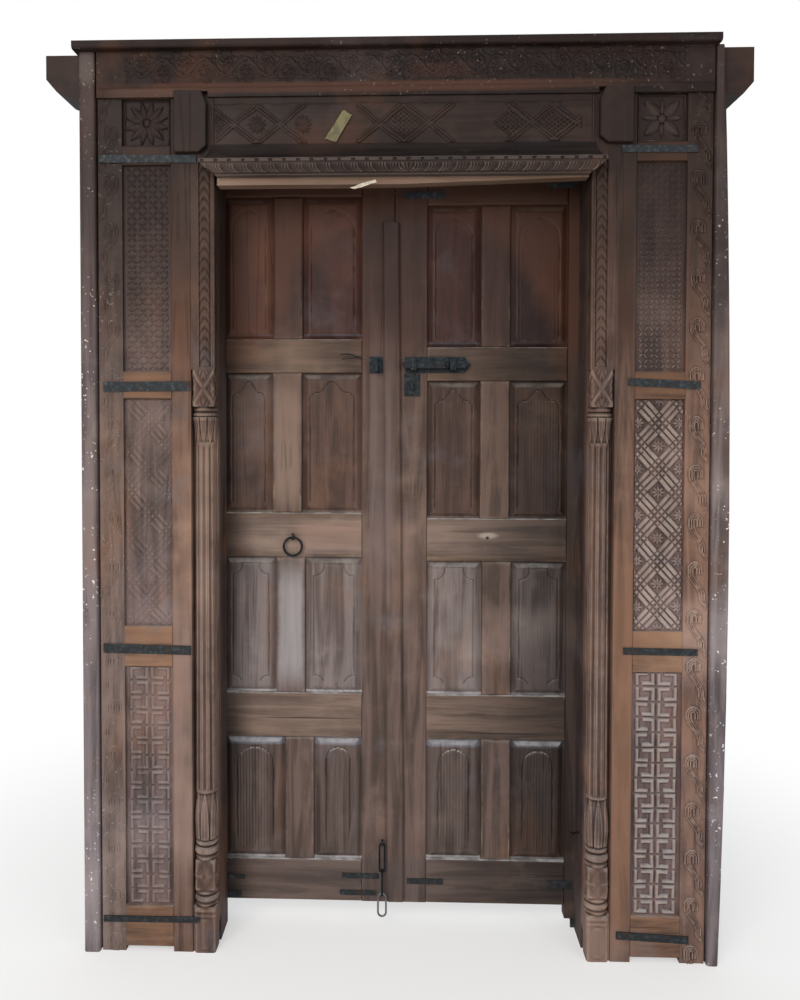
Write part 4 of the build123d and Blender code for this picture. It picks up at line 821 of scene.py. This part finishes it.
def flower_motif():
    """Four pointed petals along the diagonals, each a lens with a ridge and a back sunk in the ground."""
    points, faces = [], []
    length = FLOWER_PITCH / math.sqrt(2)
    edge = [(length * along, PETAL_HALF * wide) for along, wide in PETAL_SIDE]
    outline = [(0.3, 0)] + [(a, -b) for a, b in edge] + [(length - 0.3, 0)] + edge[::-1]
    count = len(outline)
    for n in range(4):
        angle = math.pi / 4 + n * math.pi / 2
        c, s = math.cos(angle), math.sin(angle)
        base = len(points)
        for depth in (0, PETAL_BACK):
            points += [(a * c - b * s, depth, a * s + b * c) for a, b in outline]
        for along, tall in PETAL_RIDGE:
            points.append((length * along * c, -PETAL_TALL * tall, length * along * s))
        ridge = [base + 2 * count + k for k in (0, 0, 1, 2, 2, 2, 1, 0)]
        turns = [(k, (k + 1) % count) for k in range(count)]
        faces += [(base + k, base + m, *dict.fromkeys((ridge[m], ridge[k]))) for k, m in turns]
        faces += [(base + k, base + k + count, base + m + count, base + m) for k, m in turns]
        faces.append(tuple(base + 2 * count - 1 - k for k in range(count)))
    mesh = bpy.data.meshes.new("flower_motif")
    mesh.from_pydata([tuple(v / 1000 for v in point) for point in points], [], faces)
    mesh.update()
    piece = bpy.data.objects.new("flower_motif", mesh)
    bpy.context.scene.collection.objects.link(piece)
    return piece


FLOWER = flower_motif()
FLOWER_COLUMNS, FLOWER_ROWS = 4, 19


def make_flowers(name, side):
    """The floral panel: a sunk ground and rows of crossing petals that are worn away towards the top."""
    ends = (fx(side, PANEL_IN), fx(side, PANEL_OUT))
    ground = Shell()
    ground.board(ends, FLORAL, GROUND, PANEL_BACK, lambda a, b: 0.35 * ripple(a, b, 40, 31), 7)
    ground.build(f"{name}_floral_ground", carved_wood[side], "frame", [f"{name}_floral_panel"])
    place = (sum(ends) / 2, FACE_Y + GROUND, sum(FLORAL) / 2)
    flowers = repeat(f"carved_{name}_flowers", Motif=FLOWER, Columns=FLOWER_COLUMNS, Rows=FLOWER_ROWS,
                     Width=(FLOWER_COLUMNS - 1) * FLOWER_PITCH / 1000,
                     Height=(FLOWER_ROWS - 1) * FLOWER_PITCH / 1000, Place=[v / 1000 for v in place],
                     Turn=0.05, Unevenness=0.1, Seed=4 + side, Finish=carved_wood[side])
    points = np.array([v.co for v in flowers.data.vertices])
    ground_y = (FACE_Y + GROUND) / 1000
    left_over = 1 - 0.45 * soft_step(points[:, 2], 1.75, 2.08)
    worn = ground_y + (points[:, 1] - ground_y) * left_over
    points[:, 1] = np.where(points[:, 1] < ground_y, worn, points[:, 1])
    flowers.data.vertices.foreach_set("co", points.astype(np.float32).ravel())
    rise = (ground_y - points[:, 1]) * 1000
    put_mark(flowers.data, "cut", np.clip(rise / 2.2 - 0.6, -2, 1.6))
    put_mark(flowers.data, "stand", np.clip(rise / 5, 0, 1))
    flowers.data.update()
    settle(flowers, carved_wood[side], "frame")


# Columns

COLUMN_X, COLUMN_AXIS, COLUMN_CORE = 519, 27, 26.0
FOOT, CUBE, LOTUS = (-1, 122), (167, 247), (301, 430)
SHAFT, BELL, CAP = (430, 1363), (1363, 1430), (1457, 1556)
COLUMN_TOP = 1555
# Each turned ring has its lowest and highest point, the radius at its ends and how far it swells.
TURNED_RINGS = ((122, 134, 22.5, 7), (134, 154, 22, 10.5), (154, 167, 22.5, 7), (247, 261, 22.5, 7),
                (261, 286, 22, 10.5), (286, 301, 22.5, 7), (1430, 1443, 23, 9), (1443, 1457, 24, 6.5))
LEAF_BEAD, LEAF_GROUND, LEAF_MIDDLE, LEAF_HALF = 492.5, 497, 516.0, 15.0
LEAF_ENDS, LEAF_PITCH = (1562, 2094), 26


def swell(z, low, high):
    t = np.clip((z - low) / (high - low), 0, 1)
    return np.sqrt(np.clip(1 - (2 * t - 1) ** 2, 0, 1))


def block_radius(theta, half):
    """Radius of a square block with rounded corners."""
    c, s = np.abs(np.cos(theta)), np.abs(np.sin(theta))
    return half / (c ** 9 + s ** 9) ** (1 / 9)


def lotus_leaves(theta, t, count):
    """Pointed leaves round a bell, t from 0 at their foot to 1 at their points, each with a rib."""
    off = np.abs(((theta * count / (2 * math.pi)) + 0.5) % 1 - 0.5) * 2
    edge = np.sqrt(np.clip(1 - t ** 2.4, 0, 1)) * 0.95
    rib = np.clip(1 - np.abs(off) * 4, 0, 1)
    return 4.2 * soft_step(edge - off, 0, 0.16) + rib * 1.4 * (off < edge)


def column_radius(z, theta):
    """Radius of the column at a height and an angle from its front."""
    radius = np.full_like(z + theta, COLUMN_CORE)

    def put(ends, value):
        nonlocal radius
        radius = np.where((z >= ends[0]) & (z < ends[1]), value, radius)

    on_side = np.tan(theta - np.sign(theta) * math.pi / 2)
    flat = np.where(np.abs(theta) < math.pi / 4, np.tan(np.clip(theta, -0.78, 0.78)), on_side)
    leaf = 0.25 + 0.55 * np.sin(np.clip(z / 100, 0, 1) * math.pi)
    leaf = 2.2 * np.clip(1 - np.abs(flat) / leaf, 0, 1) ** 0.5 * (z > 12) * (z < 92)
    put(FOOT, block_radius(theta, 28.0) + leaf + 1.5 * swell(z, 96, 104) + 1.5 * swell(z, 108, 118))
    for low, high, core, bulge in TURNED_RINGS:
        put((low, high), core + bulge * swell(z, low, high))
    up = (z - sum(CUBE) / 2) / 38
    diamond = 3.0 * np.clip(1.5 - (np.abs(flat) + np.abs(up)) * 1.5, 0, 1)
    put(CUBE, block_radius(theta, 27.0) + 1.6 * diamond)
    t = np.clip((z - LOTUS[0]) / 129, 0, 1)
    bell = 23.6 + 5.0 * np.sin(np.clip(t * 1.15, 0, 1) * math.pi) ** 0.8 - t * 0.6
    put(LOTUS, bell + lotus_leaves(theta, t, 7) * (1 - t * 0.3))
    end = soft_step(z, SHAFT[0], 446) * (1 - soft_step(z, 1346, SHAFT[1]))
    flute = np.clip(np.cos(theta * 9.0), 0, 1) ** 0.5
    put(SHAFT, 27 - 2 * (z - SHAFT[0]) / 933 + 1.0 - 3.6 * flute * end)
    t = np.clip((z - BELL[0]) / 67, 0, 1)
    put(BELL, 23.5 + 7.0 * t ** 1.6 + lotus_leaves(theta, 1 - t, 9) * 0.7)
    up = (z - 1506) / 46
    cross = 4.5 * np.clip(1.2 - 2.4 * np.abs(np.abs(flat) - np.abs(up)) - 0.3 * np.abs(up), 0, 1)
    vein = 2.0 * np.abs(np.sin((np.abs(flat) + 0.6 * np.abs(up)) * 9))
    put(CAP, block_radius(theta, 27.0) + cross + vein * (cross < 0.4))
    return radius


def leaf_band(side):
    """Height of the column board's upper part: a bead, then slanting leaves between flat edges."""
    def height(across, up):
        u = (across - FRAME_X) * side
        off = np.abs(u - LEAF_MIDDLE)
        bead = line_rise(np.abs(u - LEAF_BEAD), 4.2, 4)
        hatch = ((up - LEAF_ENDS[0]) / LEAF_PITCH + off / LEAF_HALF * 0.62) % 1
        fade = np.clip(1.15 - (off / LEAF_HALF) ** 3, 0, 1)
        leaf = 5.4 * np.sqrt(np.clip(1 - (2 * hatch - 1) ** 2, 0, 1)) * fade
        inside = (off < LEAF_HALF) & (up > LEAF_ENDS[0]) & (up < LEAF_ENDS[1])
        rise = np.where(u < LEAF_GROUND, bead - 3.5, -0.6)
        rise = np.where(inside, np.maximum(leaf, line_rise(off, 2.0, 5.6)) - 6, rise)
        return rise + 0.4 * ripple(across, up, 60, 5)
    return height


def foot_corner(points, side):
    """The inner corner of the jamb's foot is worn round."""
    reach = np.clip((points[..., 0] - fx(side, OPENING)) * side, 0, COLUMN_OUT - OPENING)
    limit = 72 * np.clip(1 - reach / 34, 0, 1) ** 2.2
    up = points[..., 2]
    points[..., 2] = np.maximum(up, limit + (up < limit) * 0.01 * up)
    return points


def make_column(name, side):
    column = Shell()
    ends = sorted((fx(side, OPENING), fx(side, COLUMN_OUT)))
    column.board(ends, (COLUMN_TOP, LINTEL_BASE), 0, STILE_BACK, leaf_band(side), 1.9)
    column.board(ends, (FOOT[1], COLUMN_TOP), 34, STILE_BACK, worn_board(3 + side, 1.5), 30)
    column.board(ends, (0, FOOT[1]), 4, STILE_BACK, worn_board(5 + side, 3), 5, 4,
                 move=lambda points: foot_corner(points, side))
    heights = [spread(*run) for run in ((0, 430, 3), (432, 446, 3), (460, 1335, 36), (1346, 1360, 3),
                                        (1362.5, COLUMN_TOP, 3))]
    angles = np.radians(np.concatenate([np.linspace(-118, 118, 74), np.linspace(130, 230, 9)]))
    z, theta = np.meshgrid(np.concatenate(heights), angles, indexing="ij")
    theta = (theta + math.pi) % (2 * math.pi) - math.pi
    radius = column_radius(z, theta)
    cut = radius - blur(radius, 3)
    radius = radius + 0.35 * ripple(z, theta * COLUMN_CORE, 50, 8 + side)
    x = np.clip(fx(side, COLUMN_X) + radius * np.sin(theta), ends[0] + 0.1, ends[1] - 0.1)
    y = np.clip(FACE_Y + COLUMN_AXIS - radius * np.cos(theta), FACE_Y - 9.0, FACE_Y + STILE_BACK - 2)
    column.tube(np.stack([x, y, z], -1), cut * 1.2, np.clip(0.4 + cut * 0.5, 0, 1))
    column.build(f"carved_{name}_column", column_wood, "frame", [f"{name}_column"])


# Head of the frame

HEAD_FIELD, HEAD_MIDDLE, HEAD_LINE, HEAD_FOOT = (722, 2295, 2378), 2338, 2288, 2277
HEAD_FRONT, HEAD_BACK = -12, 12
HEAD_TEETH = ((-BORDER_OUT, -592), (-504, 504), (592, BORDER_OUT))


def make_head():
    def planed(across, up):
        return 0.5 * ripple(across, up, 90, 4) - 4.5

    def carved(across, up):
        u = across - FRAME_X
        field = (np.abs(u) < HEAD_FIELD[0]) & (up > HEAD_FIELD[1]) & (up < HEAD_FIELD[2])
        share = (0.7 + 0.2 * ripple(across, up, 300, 3)) * field
        line = 1.5 * (np.abs(up - HEAD_LINE) < 2)
        return arabesque(u, up - HEAD_MIDDLE) * share - line + planed(across, up)

    board = Shell()
    board.board((fx(LEFT, BORDER_OUT), fx(RIGHT, BORDER_OUT)), (HEAD_FOOT, LINTEL_TOP), HEAD_FRONT, HEAD_BACK,
                carved, 2.3)
    for tooth in HEAD_TEETH:
        board.board([FRAME_X + u for u in tooth], (LINTEL_BASE, HEAD_FOOT), HEAD_FRONT, HEAD_BACK, planed, 5)
    board.build("carved_head_board", head_wood, "frame", ["head_board"])

    def chain(across, up):
        x = across + 0.9 * ripple(across, up, 120, 14)
        z = up + 0.9 * ripple(across, up, 100, 15)
        share = 0.8 + 0.15 * ripple(across, up, 90, 12)
        return frieze(x, z) * share - 0.4 + 0.3 * ripple(across, up, 60, 13)

    band = Shell()
    band.board((fx(LEFT, OPENING), fx(RIGHT, OPENING)), (FRIEZE_BASE, LINTEL_BASE), 0, 25, chain, 2.0)
    band.build("carved_frieze", frieze_wood, "frame", ["frieze_board"])


# The cornice's profile is given as height, how far it stands out and half its width there, from below.
CORNICE_BEAD = ((2050, 34.5, 477), (2051.5, 36.5, 478), (2053.5, 36.5, 478.5), (2054.6, 34.5, 479))
BAND_FOOT, BAND_HEAD, BAND_HALF, BAND_SPREAD = (37.0, 2056.0), (56.5, 2078.5), 480, 33
LIP_Z, LIP_DEPTH, LIP_HALF, LIP_PITCH = (2080, 2087), 62.0, 515.8, 35.0
HOLLOW = ((58, 2090.5), (47, 2094), (36, 2099), (26, 2106), (16, 2114), (6, 2126), (0.8, 2139.8))
CORNICE_BACK, CORNICE_COLUMNS, CORNICE_HEAD = (-2.0, -24.0), 570, 505
GADROON_PITCH, GADROON_LEAN, PALMETTE_X = 35.4, 13.0, 14.0


def gadroons(x, s):
    """Height of the slanting leaves on the band, s from 0 at its foot to 1 at its head."""
    far = np.abs(x - PALMETTE_X)
    t = (far - 6 - GADROON_LEAN * s) / GADROON_PITCH
    a, b = (t % 1 - 0.5) * GADROON_PITCH, (s - 0.5) * 30
    bowed = a + 7 * (b / 15) ** 2
    ends = np.clip(1.25 - np.abs(b / 15) ** 4, 0, 1)
    leaf = 0.3
    for middle, tall in ((-11, 1.0), (-3.5, 0.9), (4, 0.7), (11, 0.5)):
        leaf = np.maximum(leaf, line_rise(np.abs(bowed - middle), 3.3, tall) * ends)
    fan = 0.65 + 0.35 * np.cos(np.arctan2(b + 18, x - PALMETTE_X) * 16)
    return np.where(far < 15, fan, leaf) * 5.2


def cornice_profile():
    (foot_out, foot_z), (head_out, head_z) = BAND_FOOT, BAND_HEAD
    profile = list(CORNICE_BEAD)
    for s in np.linspace(0, 1, 18):
        profile.append((foot_z + s * (head_z - foot_z), foot_out + s * (head_out - foot_out),
                        BAND_HALF + BAND_SPREAD * s))
    profile += [(2079.2, 58, 514)]
    profile += [(z, LIP_DEPTH, LIP_HALF) for z in (2080.2, 2081.5, 2083, 2084.5, 2086)]
    profile += [(2087.2, LIP_DEPTH - 0.6, 515.5)]
    profile += [(z, depth, 498 + 17 * (depth / LIP_DEPTH)) for depth, z in HOLLOW]
    return profile


def make_cornice():
    """The projecting moulding: a band of slanting leaves, a notched lip and a hollow up to the frieze."""
    rows = []
    for z, depth, half in cornice_profile():
        end = [(half, d, z) for d in (depth * 0.5, *CORNICE_BACK)]
        front = [(x, depth, z) for x in np.linspace(-half, half, CORNICE_COLUMNS)]
        rows.append([(-x, d, z) for x, d, z in end[::-1]] + front + end)
    x, depth, z = np.moveaxis(np.array(rows), -1, 0)
    s = (z - BAND_FOOT[1]) / (BAND_HEAD[1] - BAND_FOOT[1])
    on_band = (s > 0.02) & (s < 0.98) & (depth > 30) & (z < BAND_HEAD[1] + 0.1)
    leaf = gadroons(x, s) * np.clip(np.minimum(s, 1 - s) / 0.12, 0, 1) * on_band
    notch = (np.abs((x / LIP_PITCH) % 1 - 0.5) < 0.12) & (z > LIP_Z[0] + 1) & (z < LIP_Z[1]) & (depth > 60)
    depth = depth + 0.76 * leaf - 3.0 * notch
    depth = depth + 0.4 * ripple(x, z, 110, 21) * (depth > 5)
    near_head = (np.abs(x) > CORNICE_HEAD) & (depth < 21.5)
    x = np.where(near_head, np.clip(x, -CORNICE_HEAD, CORNICE_HEAD), x)
    hollow = z > LIP_Z[1] + 1
    points = np.stack([x + FRAME_X, FACE_Y - np.minimum(depth, LIP_DEPTH - 0.1), z - 0.65 * leaf], -1)
    moulding = Shell()
    # The hollow is marked as a deep cut that stands nowhere, so its finish paints it dark: painted shade.
    moulding.tube(points, np.where(hollow, -2.5, leaf - blur(leaf, 5) - 2.2 * notch),
                  np.where(hollow, 0.0, np.where(on_band, leaf / 6.0, 0.7 - 0.7 * notch)))
    moulding.build("carved_cornice", cornice_wood, "frame", ["cornice"])


# Leaves

class PanelKind(NamedTuple):
    """How a row of panels is carved and coloured. A band is its inset from the edge, tone and strength. The
    head band paints shade under the rail above, but on the reeded row it is a paler grey.
    """
    tones: tuple
    head_band: tuple
    foot_band: tuple
    margin: float = 22
    foot: float = 0.75
    reed: float = 0.7
    groove: float = 2.4
    groove_from: float = 31
    step: float = 2.15
    dust: float = 0.35
    corner: float = 0.0


PANEL_KINDS = {
    "reeded": PanelKind(("40332d", "5c4c44", "7c6a60"), (12, "75747c", 0.55), (3, "b9b0aa", 0.75),
                        margin=34, foot=0.8, reed=1.9, groove_from=90, dust=0.8),
    "cartouche": PanelKind(("544640", "776963", "99897f"), (10, "4a3d37", 0.4), (3, "b9b0aa", 0.8), reed=0.8),
    "ogee": PanelKind(("3f2e28", "58433a", "745b4f"), (10, "3d322d", 0.4), (3, "8f857e", 0.4)),
    "arch": PanelKind(("361f1a", "492c26", "5f3d34"), (8, "2a1d1a", 0.6), (12, "5f5a60", 0.55), margin=24,
                      reed=0.35, groove=1.5, step=3.0, corner=0.4),
}
SUNK, PANEL_THICK, REED_WIDTH = 11, 20, 8.6


def field_top(kind, off, wide, high):
    """Height of the field's top edge at a distance off its middle line."""
    s = np.clip(off / wide, 0, 1)
    if kind == "reeded":
        return high - 30 - wide + np.sqrt(np.clip(wide ** 2 - off ** 2, 0, None))
    if kind == "ogee":
        return high - 24 - 30 * soft_step(s, 0.02, 0.62) - 12 * soft_step(s, 0.7, 1) ** 1.5
    return high - 34 - wide * 0.75 * (1 - np.sqrt(np.clip(1 - s ** 1.7, 0, 1))) - 8 * s


def leaf_panel(kind, ends, z_ends, seed):
    """Height of a sunk leaf panel: a moulded edge, a margin and a raised field with its own outline."""
    carved = PANEL_KINDS[kind]
    low, high = z_ends
    centre = sum(ends) / 2
    wide = (ends[1] - ends[0]) / 2 - carved.margin

    def outline(u, z):
        """Signed distance inside the field's outline, roughly in millimetres."""
        off = np.abs(u - centre)
        foot = z - (low + carved.margin * carved.foot)
        shape = wide - off
        if kind != "cartouche":
            return np.minimum(shape, np.minimum(field_top(kind, off, wide, high) - z, foot))
        for gap in (high - carved.margin * 0.9 - z, foot):
            notch = np.hypot(np.maximum(wide * 0.98 - off, 0), np.maximum(gap - 4, 0)) - 0.50 * wide
            neck = np.where(off > wide * 0.55, gap - 10, gap)
            shape = np.minimum(shape, np.minimum(notch, neck))
        return shape

    def height(u, z):
        inside = outline(u + 0.6 * ripple(u, z, 80, seed), z + 0.6 * ripple(u, z, 90, seed + 1))
        rise = 0.6 * ripple(u, z * 0.5, 120, seed + 2) - 3.5 + 9.5 * soft_step(from_edge(u, z), 1.0, 21.0)
        groove = carved.groove * soft_step(z, low + 30, low + carved.groove_from)
        rise = rise - groove * line_rise(np.abs(inside), 2.4, 1.0) - 0.8 * (inside > 0)
        reeds = np.abs(np.sin((u - centre) * math.pi / REED_WIDTH)) * soft_step(inside, 2, 6)
        return rise + reeds * carved.reed
    return height


def panel_finish(name, side, kind, z_ends, edge):
    """The wood of one row of panels, redder beside the muntin or stile at its right, given by edge."""
    carved = PANEL_KINDS[kind]
    low, high = z_ends
    (inset, *head), (rise, *foot) = carved.head_band, carved.foot_band
    return wood(f"{name}_{kind}_wood", "z", carved.tones, dust=carved.dust, rough=0.58, worn=0.1, ledge=0.22,
                corner=carved.corner, bands=[(high - inset, 12, *head), (low + rise, 3.5, *foot)],
                shadow=[(100, 420, 0.85)] if side == RIGHT else [(-370, -500, 0.9)],
                patches=[(edge - 18, (low + high) / 2, 14, (high - low) * 0.42, "6d4e3c", 0.35)])


def make_leaf(name, side):
    body = f"{name}_leaf"
    seed = 40 + 20 * side
    rows = LEAF_ROWS[side]
    across = (lx(side, MEETING), lx(side, HINGE))
    rails, muntins, stile = Shell(), Shell(), Shell()
    for n, (kind, (low, high, centre)) in enumerate(zip(PANEL_KINDS, rows)):
        muntin = (centre - MUNTIN / 2, centre + MUNTIN / 2)
        panels = Shell()
        for edges in ((MEETING, muntin[0]), (muntin[1], HINGE)):
            ends = sorted(lx(side, u) for u in edges)
            panels.board(ends, (low, high), LEAF_FACE + SUNK, LEAF_FACE + SUNK + PANEL_THICK,
                         leaf_panel(kind, ends, (low, high), seed + n), PANEL_KINDS[kind].step, tall=1.5)
        finish = panel_finish(name, side, kind, (low, high), ends[1])
        panels.build(f"carved_{name}_{kind}_panels", finish, body, [f"{name}_{kind}_panels"], "leaf_wood")
        muntins.board([lx(side, u) for u in muntin], (low, high), LEAF_FACE, LEAF_BACK,
                      worn_board(seed + 11 + n, 8.0, 0.8), 7, 10)
    tops = [LEAF_FOOT] + [row[1] for row in rows]
    bases = [row[0] for row in rows] + [LEAF_TOP]
    for n, ends in enumerate(zip(tops, bases)):
        rails.board(across, ends, LEAF_FACE, LEAF_BACK, worn_board(seed + 5 + n, 6.0, 0.8), 7, 8)
    rails.build(f"worn_{name}_leaf_rails", leaf_rail_wood, body, [f"{name}_leaf_rails"], "leaf_wood")
    muntins.build(f"worn_{name}_muntins", leaf_upright_wood, body, [f"{name}_muntins"], "leaf_wood")
    stile.board((lx(side, 1.0), lx(side, MEETING)), (LEAF_FOOT, LEAF_TOP), LEAF_FACE, LEAF_BACK,
                worn_board(seed + 17, 3.0, 0.7), 7, 5)
    stile.board((lx(side, 0.03), lx(side, 2.0)), (LEAF_FOOT, LEAF_TOP), LEAF_FACE + 16, LEAF_FACE + 22,
                flat_face, 400)
    stile.build(f"worn_{name}_meeting_stile", leaf_upright_wood, body, [f"{name}_meeting_stile"], "leaf_wood")


# Scraps

TAPE = ((-199, 2151), (-170, 2143), (-129, 2212), (-152, 2225))
PAPER = ((-137, 2022), (-118, 2018), (-63, 2036), (-70, 2043))
# Wires as radius and route, with the depth counted from the face of the leaf or of the jamb.
BENT_WIRE = (1.5, ((-90, -6, 1592), (-112, -16, 1600), (-128, -18, 1606), (-150, -14, 1604)))
BENT_WIRE_END = (1.3, ((-98, -10, 1596), (-120, -20, 1592), (-146, -18, 1590)))
JAMB_HOOK = (2.2, ((506.5, 92, 300), (495.5, 90, 301), (485.5, 86, 296), (481.5, 84, 304)))


def strand(name, wire, face, body):
    """A round wire through a few points, in millimetres."""
    radius, route = wire
    curve = bpy.data.curves.new(name, "CURVE")
    curve.dimensions = "3D"
    curve.bevel_depth = radius / 1000
    curve.bevel_resolution = 3
    curve.use_fill_caps = True
    line = curve.splines.new("NURBS")
    line.points.add(len(route) - 1)
    for spot, (x, depth, z) in zip(line.points, route):
        spot.co = (x / 1000, (face + depth) / 1000, z / 1000, 1)
    line.use_endpoint_u = True
    line.order_u = 3
    line.resolution_u = 8
    settle(plain_object(bpy.data.objects.new(name, curve), name), black_iron, body)


def sheet_patch(name, corners, front, thick, curl, material):
    """A scrap stuck on the frame: four corners across and up, bulging a little off the face."""
    s, t = np.meshgrid(np.linspace(0, 1, 9), np.linspace(0, 1, 9))
    first, second, third, fourth = (np.array((FRAME_X + across, up)) for across, up in corners)
    s, t = s[..., None], t[..., None]
    flat = (first * (1 - s) + second * s) * (1 - t) + (fourth * (1 - s) + third * s) * t
    flat = flat + 1.2 * ripple(s * 80, t * 80, 30, 2)
    bulge = thick + curl * s * (0.6 + 0.4 * np.sin(t * 5))
    y = FACE_Y - front - bulge
    scrap = Shell()
    face = scrap.grid(np.concatenate([flat[..., :1], y, flat[..., 1:]], -1))
    back = scrap.grid(np.concatenate([flat[..., :1], y + thick, flat[..., 1:]], -1)[:, ::-1])
    scrap.join(rim_of(face), rim_of(back[:, ::-1]))
    scrap.build(name, material, "frame")


def make_scraps():
    sheet_patch("tape_patch", TAPE, 4.0, 0.6, 1.0, plain("tape", "6a6242", "514a36", 30, 0.5))
    sheet_patch("paper_scrap", PAPER, 16.5, 0.8, 5.0, plain("paper", "d9d0c0", "b8ab98", 40, 0.8))
    strand("bent_wire", BENT_WIRE, FACE_Y + LEAF_FACE, "left_leaf")
    strand("bent_wire_end", BENT_WIRE_END, FACE_Y + LEAF_FACE, "left_leaf")
    strand("jamb_hook", JAMB_HOOK, FACE_Y, "frame")


make_head()
make_cornice()
for side_name, hand_side in SIDES.items():
    make_jamb(side_name, hand_side)
    make_leaf(side_name, hand_side)
make_scraps()
bpy.data.objects.remove(FLOWER)

# Nodes of the CAD that are shown as they are
KEPT = (
    (head_wood, ("cap_moulding",)),
    (lintel_wood, ("rear_lintel", "inner_head")),
    (pale_lath, ("soffit_strip",)),
    (upright_wood, ("left_pilaster_head", "right_pilaster_head")),
    (strip_wood, ("left_edge_strip", "right_edge_strip")),
    (rear_wood, ("left_rear_post", "right_rear_post")),
    (leaf_upright_wood, ("left_hinge_stile", "right_hinge_stile", "batten")),
    (strap_iron, ("jamb_straps", "pivot_brackets", "left_leaf_straps", "right_leaf_straps")),
    (black_iron, ("ring_staple", "ring_pull", "eye_plate", "chain_staple", "chain_link_1", "chain_link_2",
                  "bolt_plate", "bolt_bar", "lock_plate")),
    (link_iron, ("chain_link_3",)),
)
for finish, names in KEPT:
    for node_name in names:
        for material_slot in nodes[node_name].material_slots:
            material_slot.material = finish


# Floor, light and camera, in metres

FLOOR_SIZE, FLOOR_FADE = 24, (0.7, 2.2)
WORLD_TONE, WORLD_POWER, WHITE = (0.93, 0.96, 1.0, 1), 0.6, (1, 1, 1, 1)
CAMERA_PLACE = Vector((0.0175, -2.362, 1.446))
YAW, PITCH, ROLL = (math.radians(a) for a in (-2.03, -1.48, 0.09))
LENS, SHIFT, SENSOR = 31.68, (0.0302, -0.0658), 36


def make_floor():
    """Pale floor that keeps the shadow near the door and fades to plain white far away."""
    f = Finish("floor")
    surface = f.surface(paint("f4f2ef"), 0.9, [(f.noise(60, 3), 0.1, 0.001)])
    seen = f.node("ShaderNodeLightPath", {}, {}, out="Is Camera Ray")
    far = ((f.x * f.x + f.y * f.y) ** 0.5).between(*FLOOR_FADE)
    glow = f.node("ShaderNodeEmission", {}, {"Color": WHITE, "Strength": 1.0})
    both = f.node("ShaderNodeMixShader", {}, {0: seen * (0.45 + far * 0.55), 1: surface, 2: glow})
    bpy.ops.mesh.primitive_plane_add(size=FLOOR_SIZE, location=(0, 0, 0))
    floor = bpy.context.object
    floor.name = "floor"
    floor.data.materials.append(f.done(both))


def make_world():
    world = bpy.data.worlds.new("studio")
    bpy.context.scene.world = world
    world.use_nodes = True
    tree = Tree(world.node_tree)
    lit = tree.node("ShaderNodeBackground", {}, {"Color": WORLD_TONE, "Strength": WORLD_POWER})
    seen = tree.node("ShaderNodeBackground", {}, {"Color": WHITE, "Strength": 1.0})
    path = tree.node("ShaderNodeLightPath", {}, {}, out="Is Camera Ray")
    chosen = tree.node("ShaderNodeMixShader", {}, {0: path, 1: lit, 2: seen})
    tree.node("ShaderNodeOutputWorld", {}, {"Surface": chosen}, out=None)


def lamp(name, place, aim, size, power, colour):
    data = bpy.data.lights.new(name, "AREA")
    data.shape = "RECTANGLE"
    data.size, data.size_y = size
    data.energy = power
    data.color = colour
    holder = bpy.data.objects.new(name, data)
    bpy.context.scene.collection.objects.link(holder)
    holder.location = place
    holder.rotation_mode = "QUATERNION"
    holder.rotation_quaternion = (Vector(aim) - Vector(place)).to_track_quat("-Z", "Y")


def make_camera():
    """The photo's own view."""
    ahead = Vector((math.sin(YAW) * math.cos(PITCH), math.cos(YAW) * math.cos(PITCH), math.sin(PITCH)))
    level = Vector((math.cos(YAW), -math.sin(YAW), 0))
    above = level.cross(ahead)
    right_hand = math.cos(ROLL) * level + math.sin(ROLL) * above
    top_hand = -math.sin(ROLL) * level + math.cos(ROLL) * above
    data = bpy.data.cameras.new("camera")
    data.sensor_fit = "VERTICAL"
    data.sensor_height = SENSOR
    data.lens = LENS
    data.shift_x, data.shift_y = SHIFT
    camera = bpy.data.objects.new("camera", data)
    bpy.context.scene.collection.objects.link(camera)
    turned = Matrix((right_hand, top_hand, -ahead)).transposed().to_4x4()
    camera.matrix_world = Matrix.Translation(CAMERA_PLACE) @ turned
    bpy.context.scene.camera = camera


make_floor()
make_world()
lamp("key", (-1.5, -3.9, 2.7), (0, 0, 0.9), (2.6, 2.2), 136, (1.0, 0.98, 0.95))
lamp("fill", (2.8, -3.2, 1.6), (0, 0, 1.0), (2.0, 2.6), 33, (0.92, 0.96, 1.0))
make_camera()
bpy.context.scene.view_settings.view_transform = "Standard"
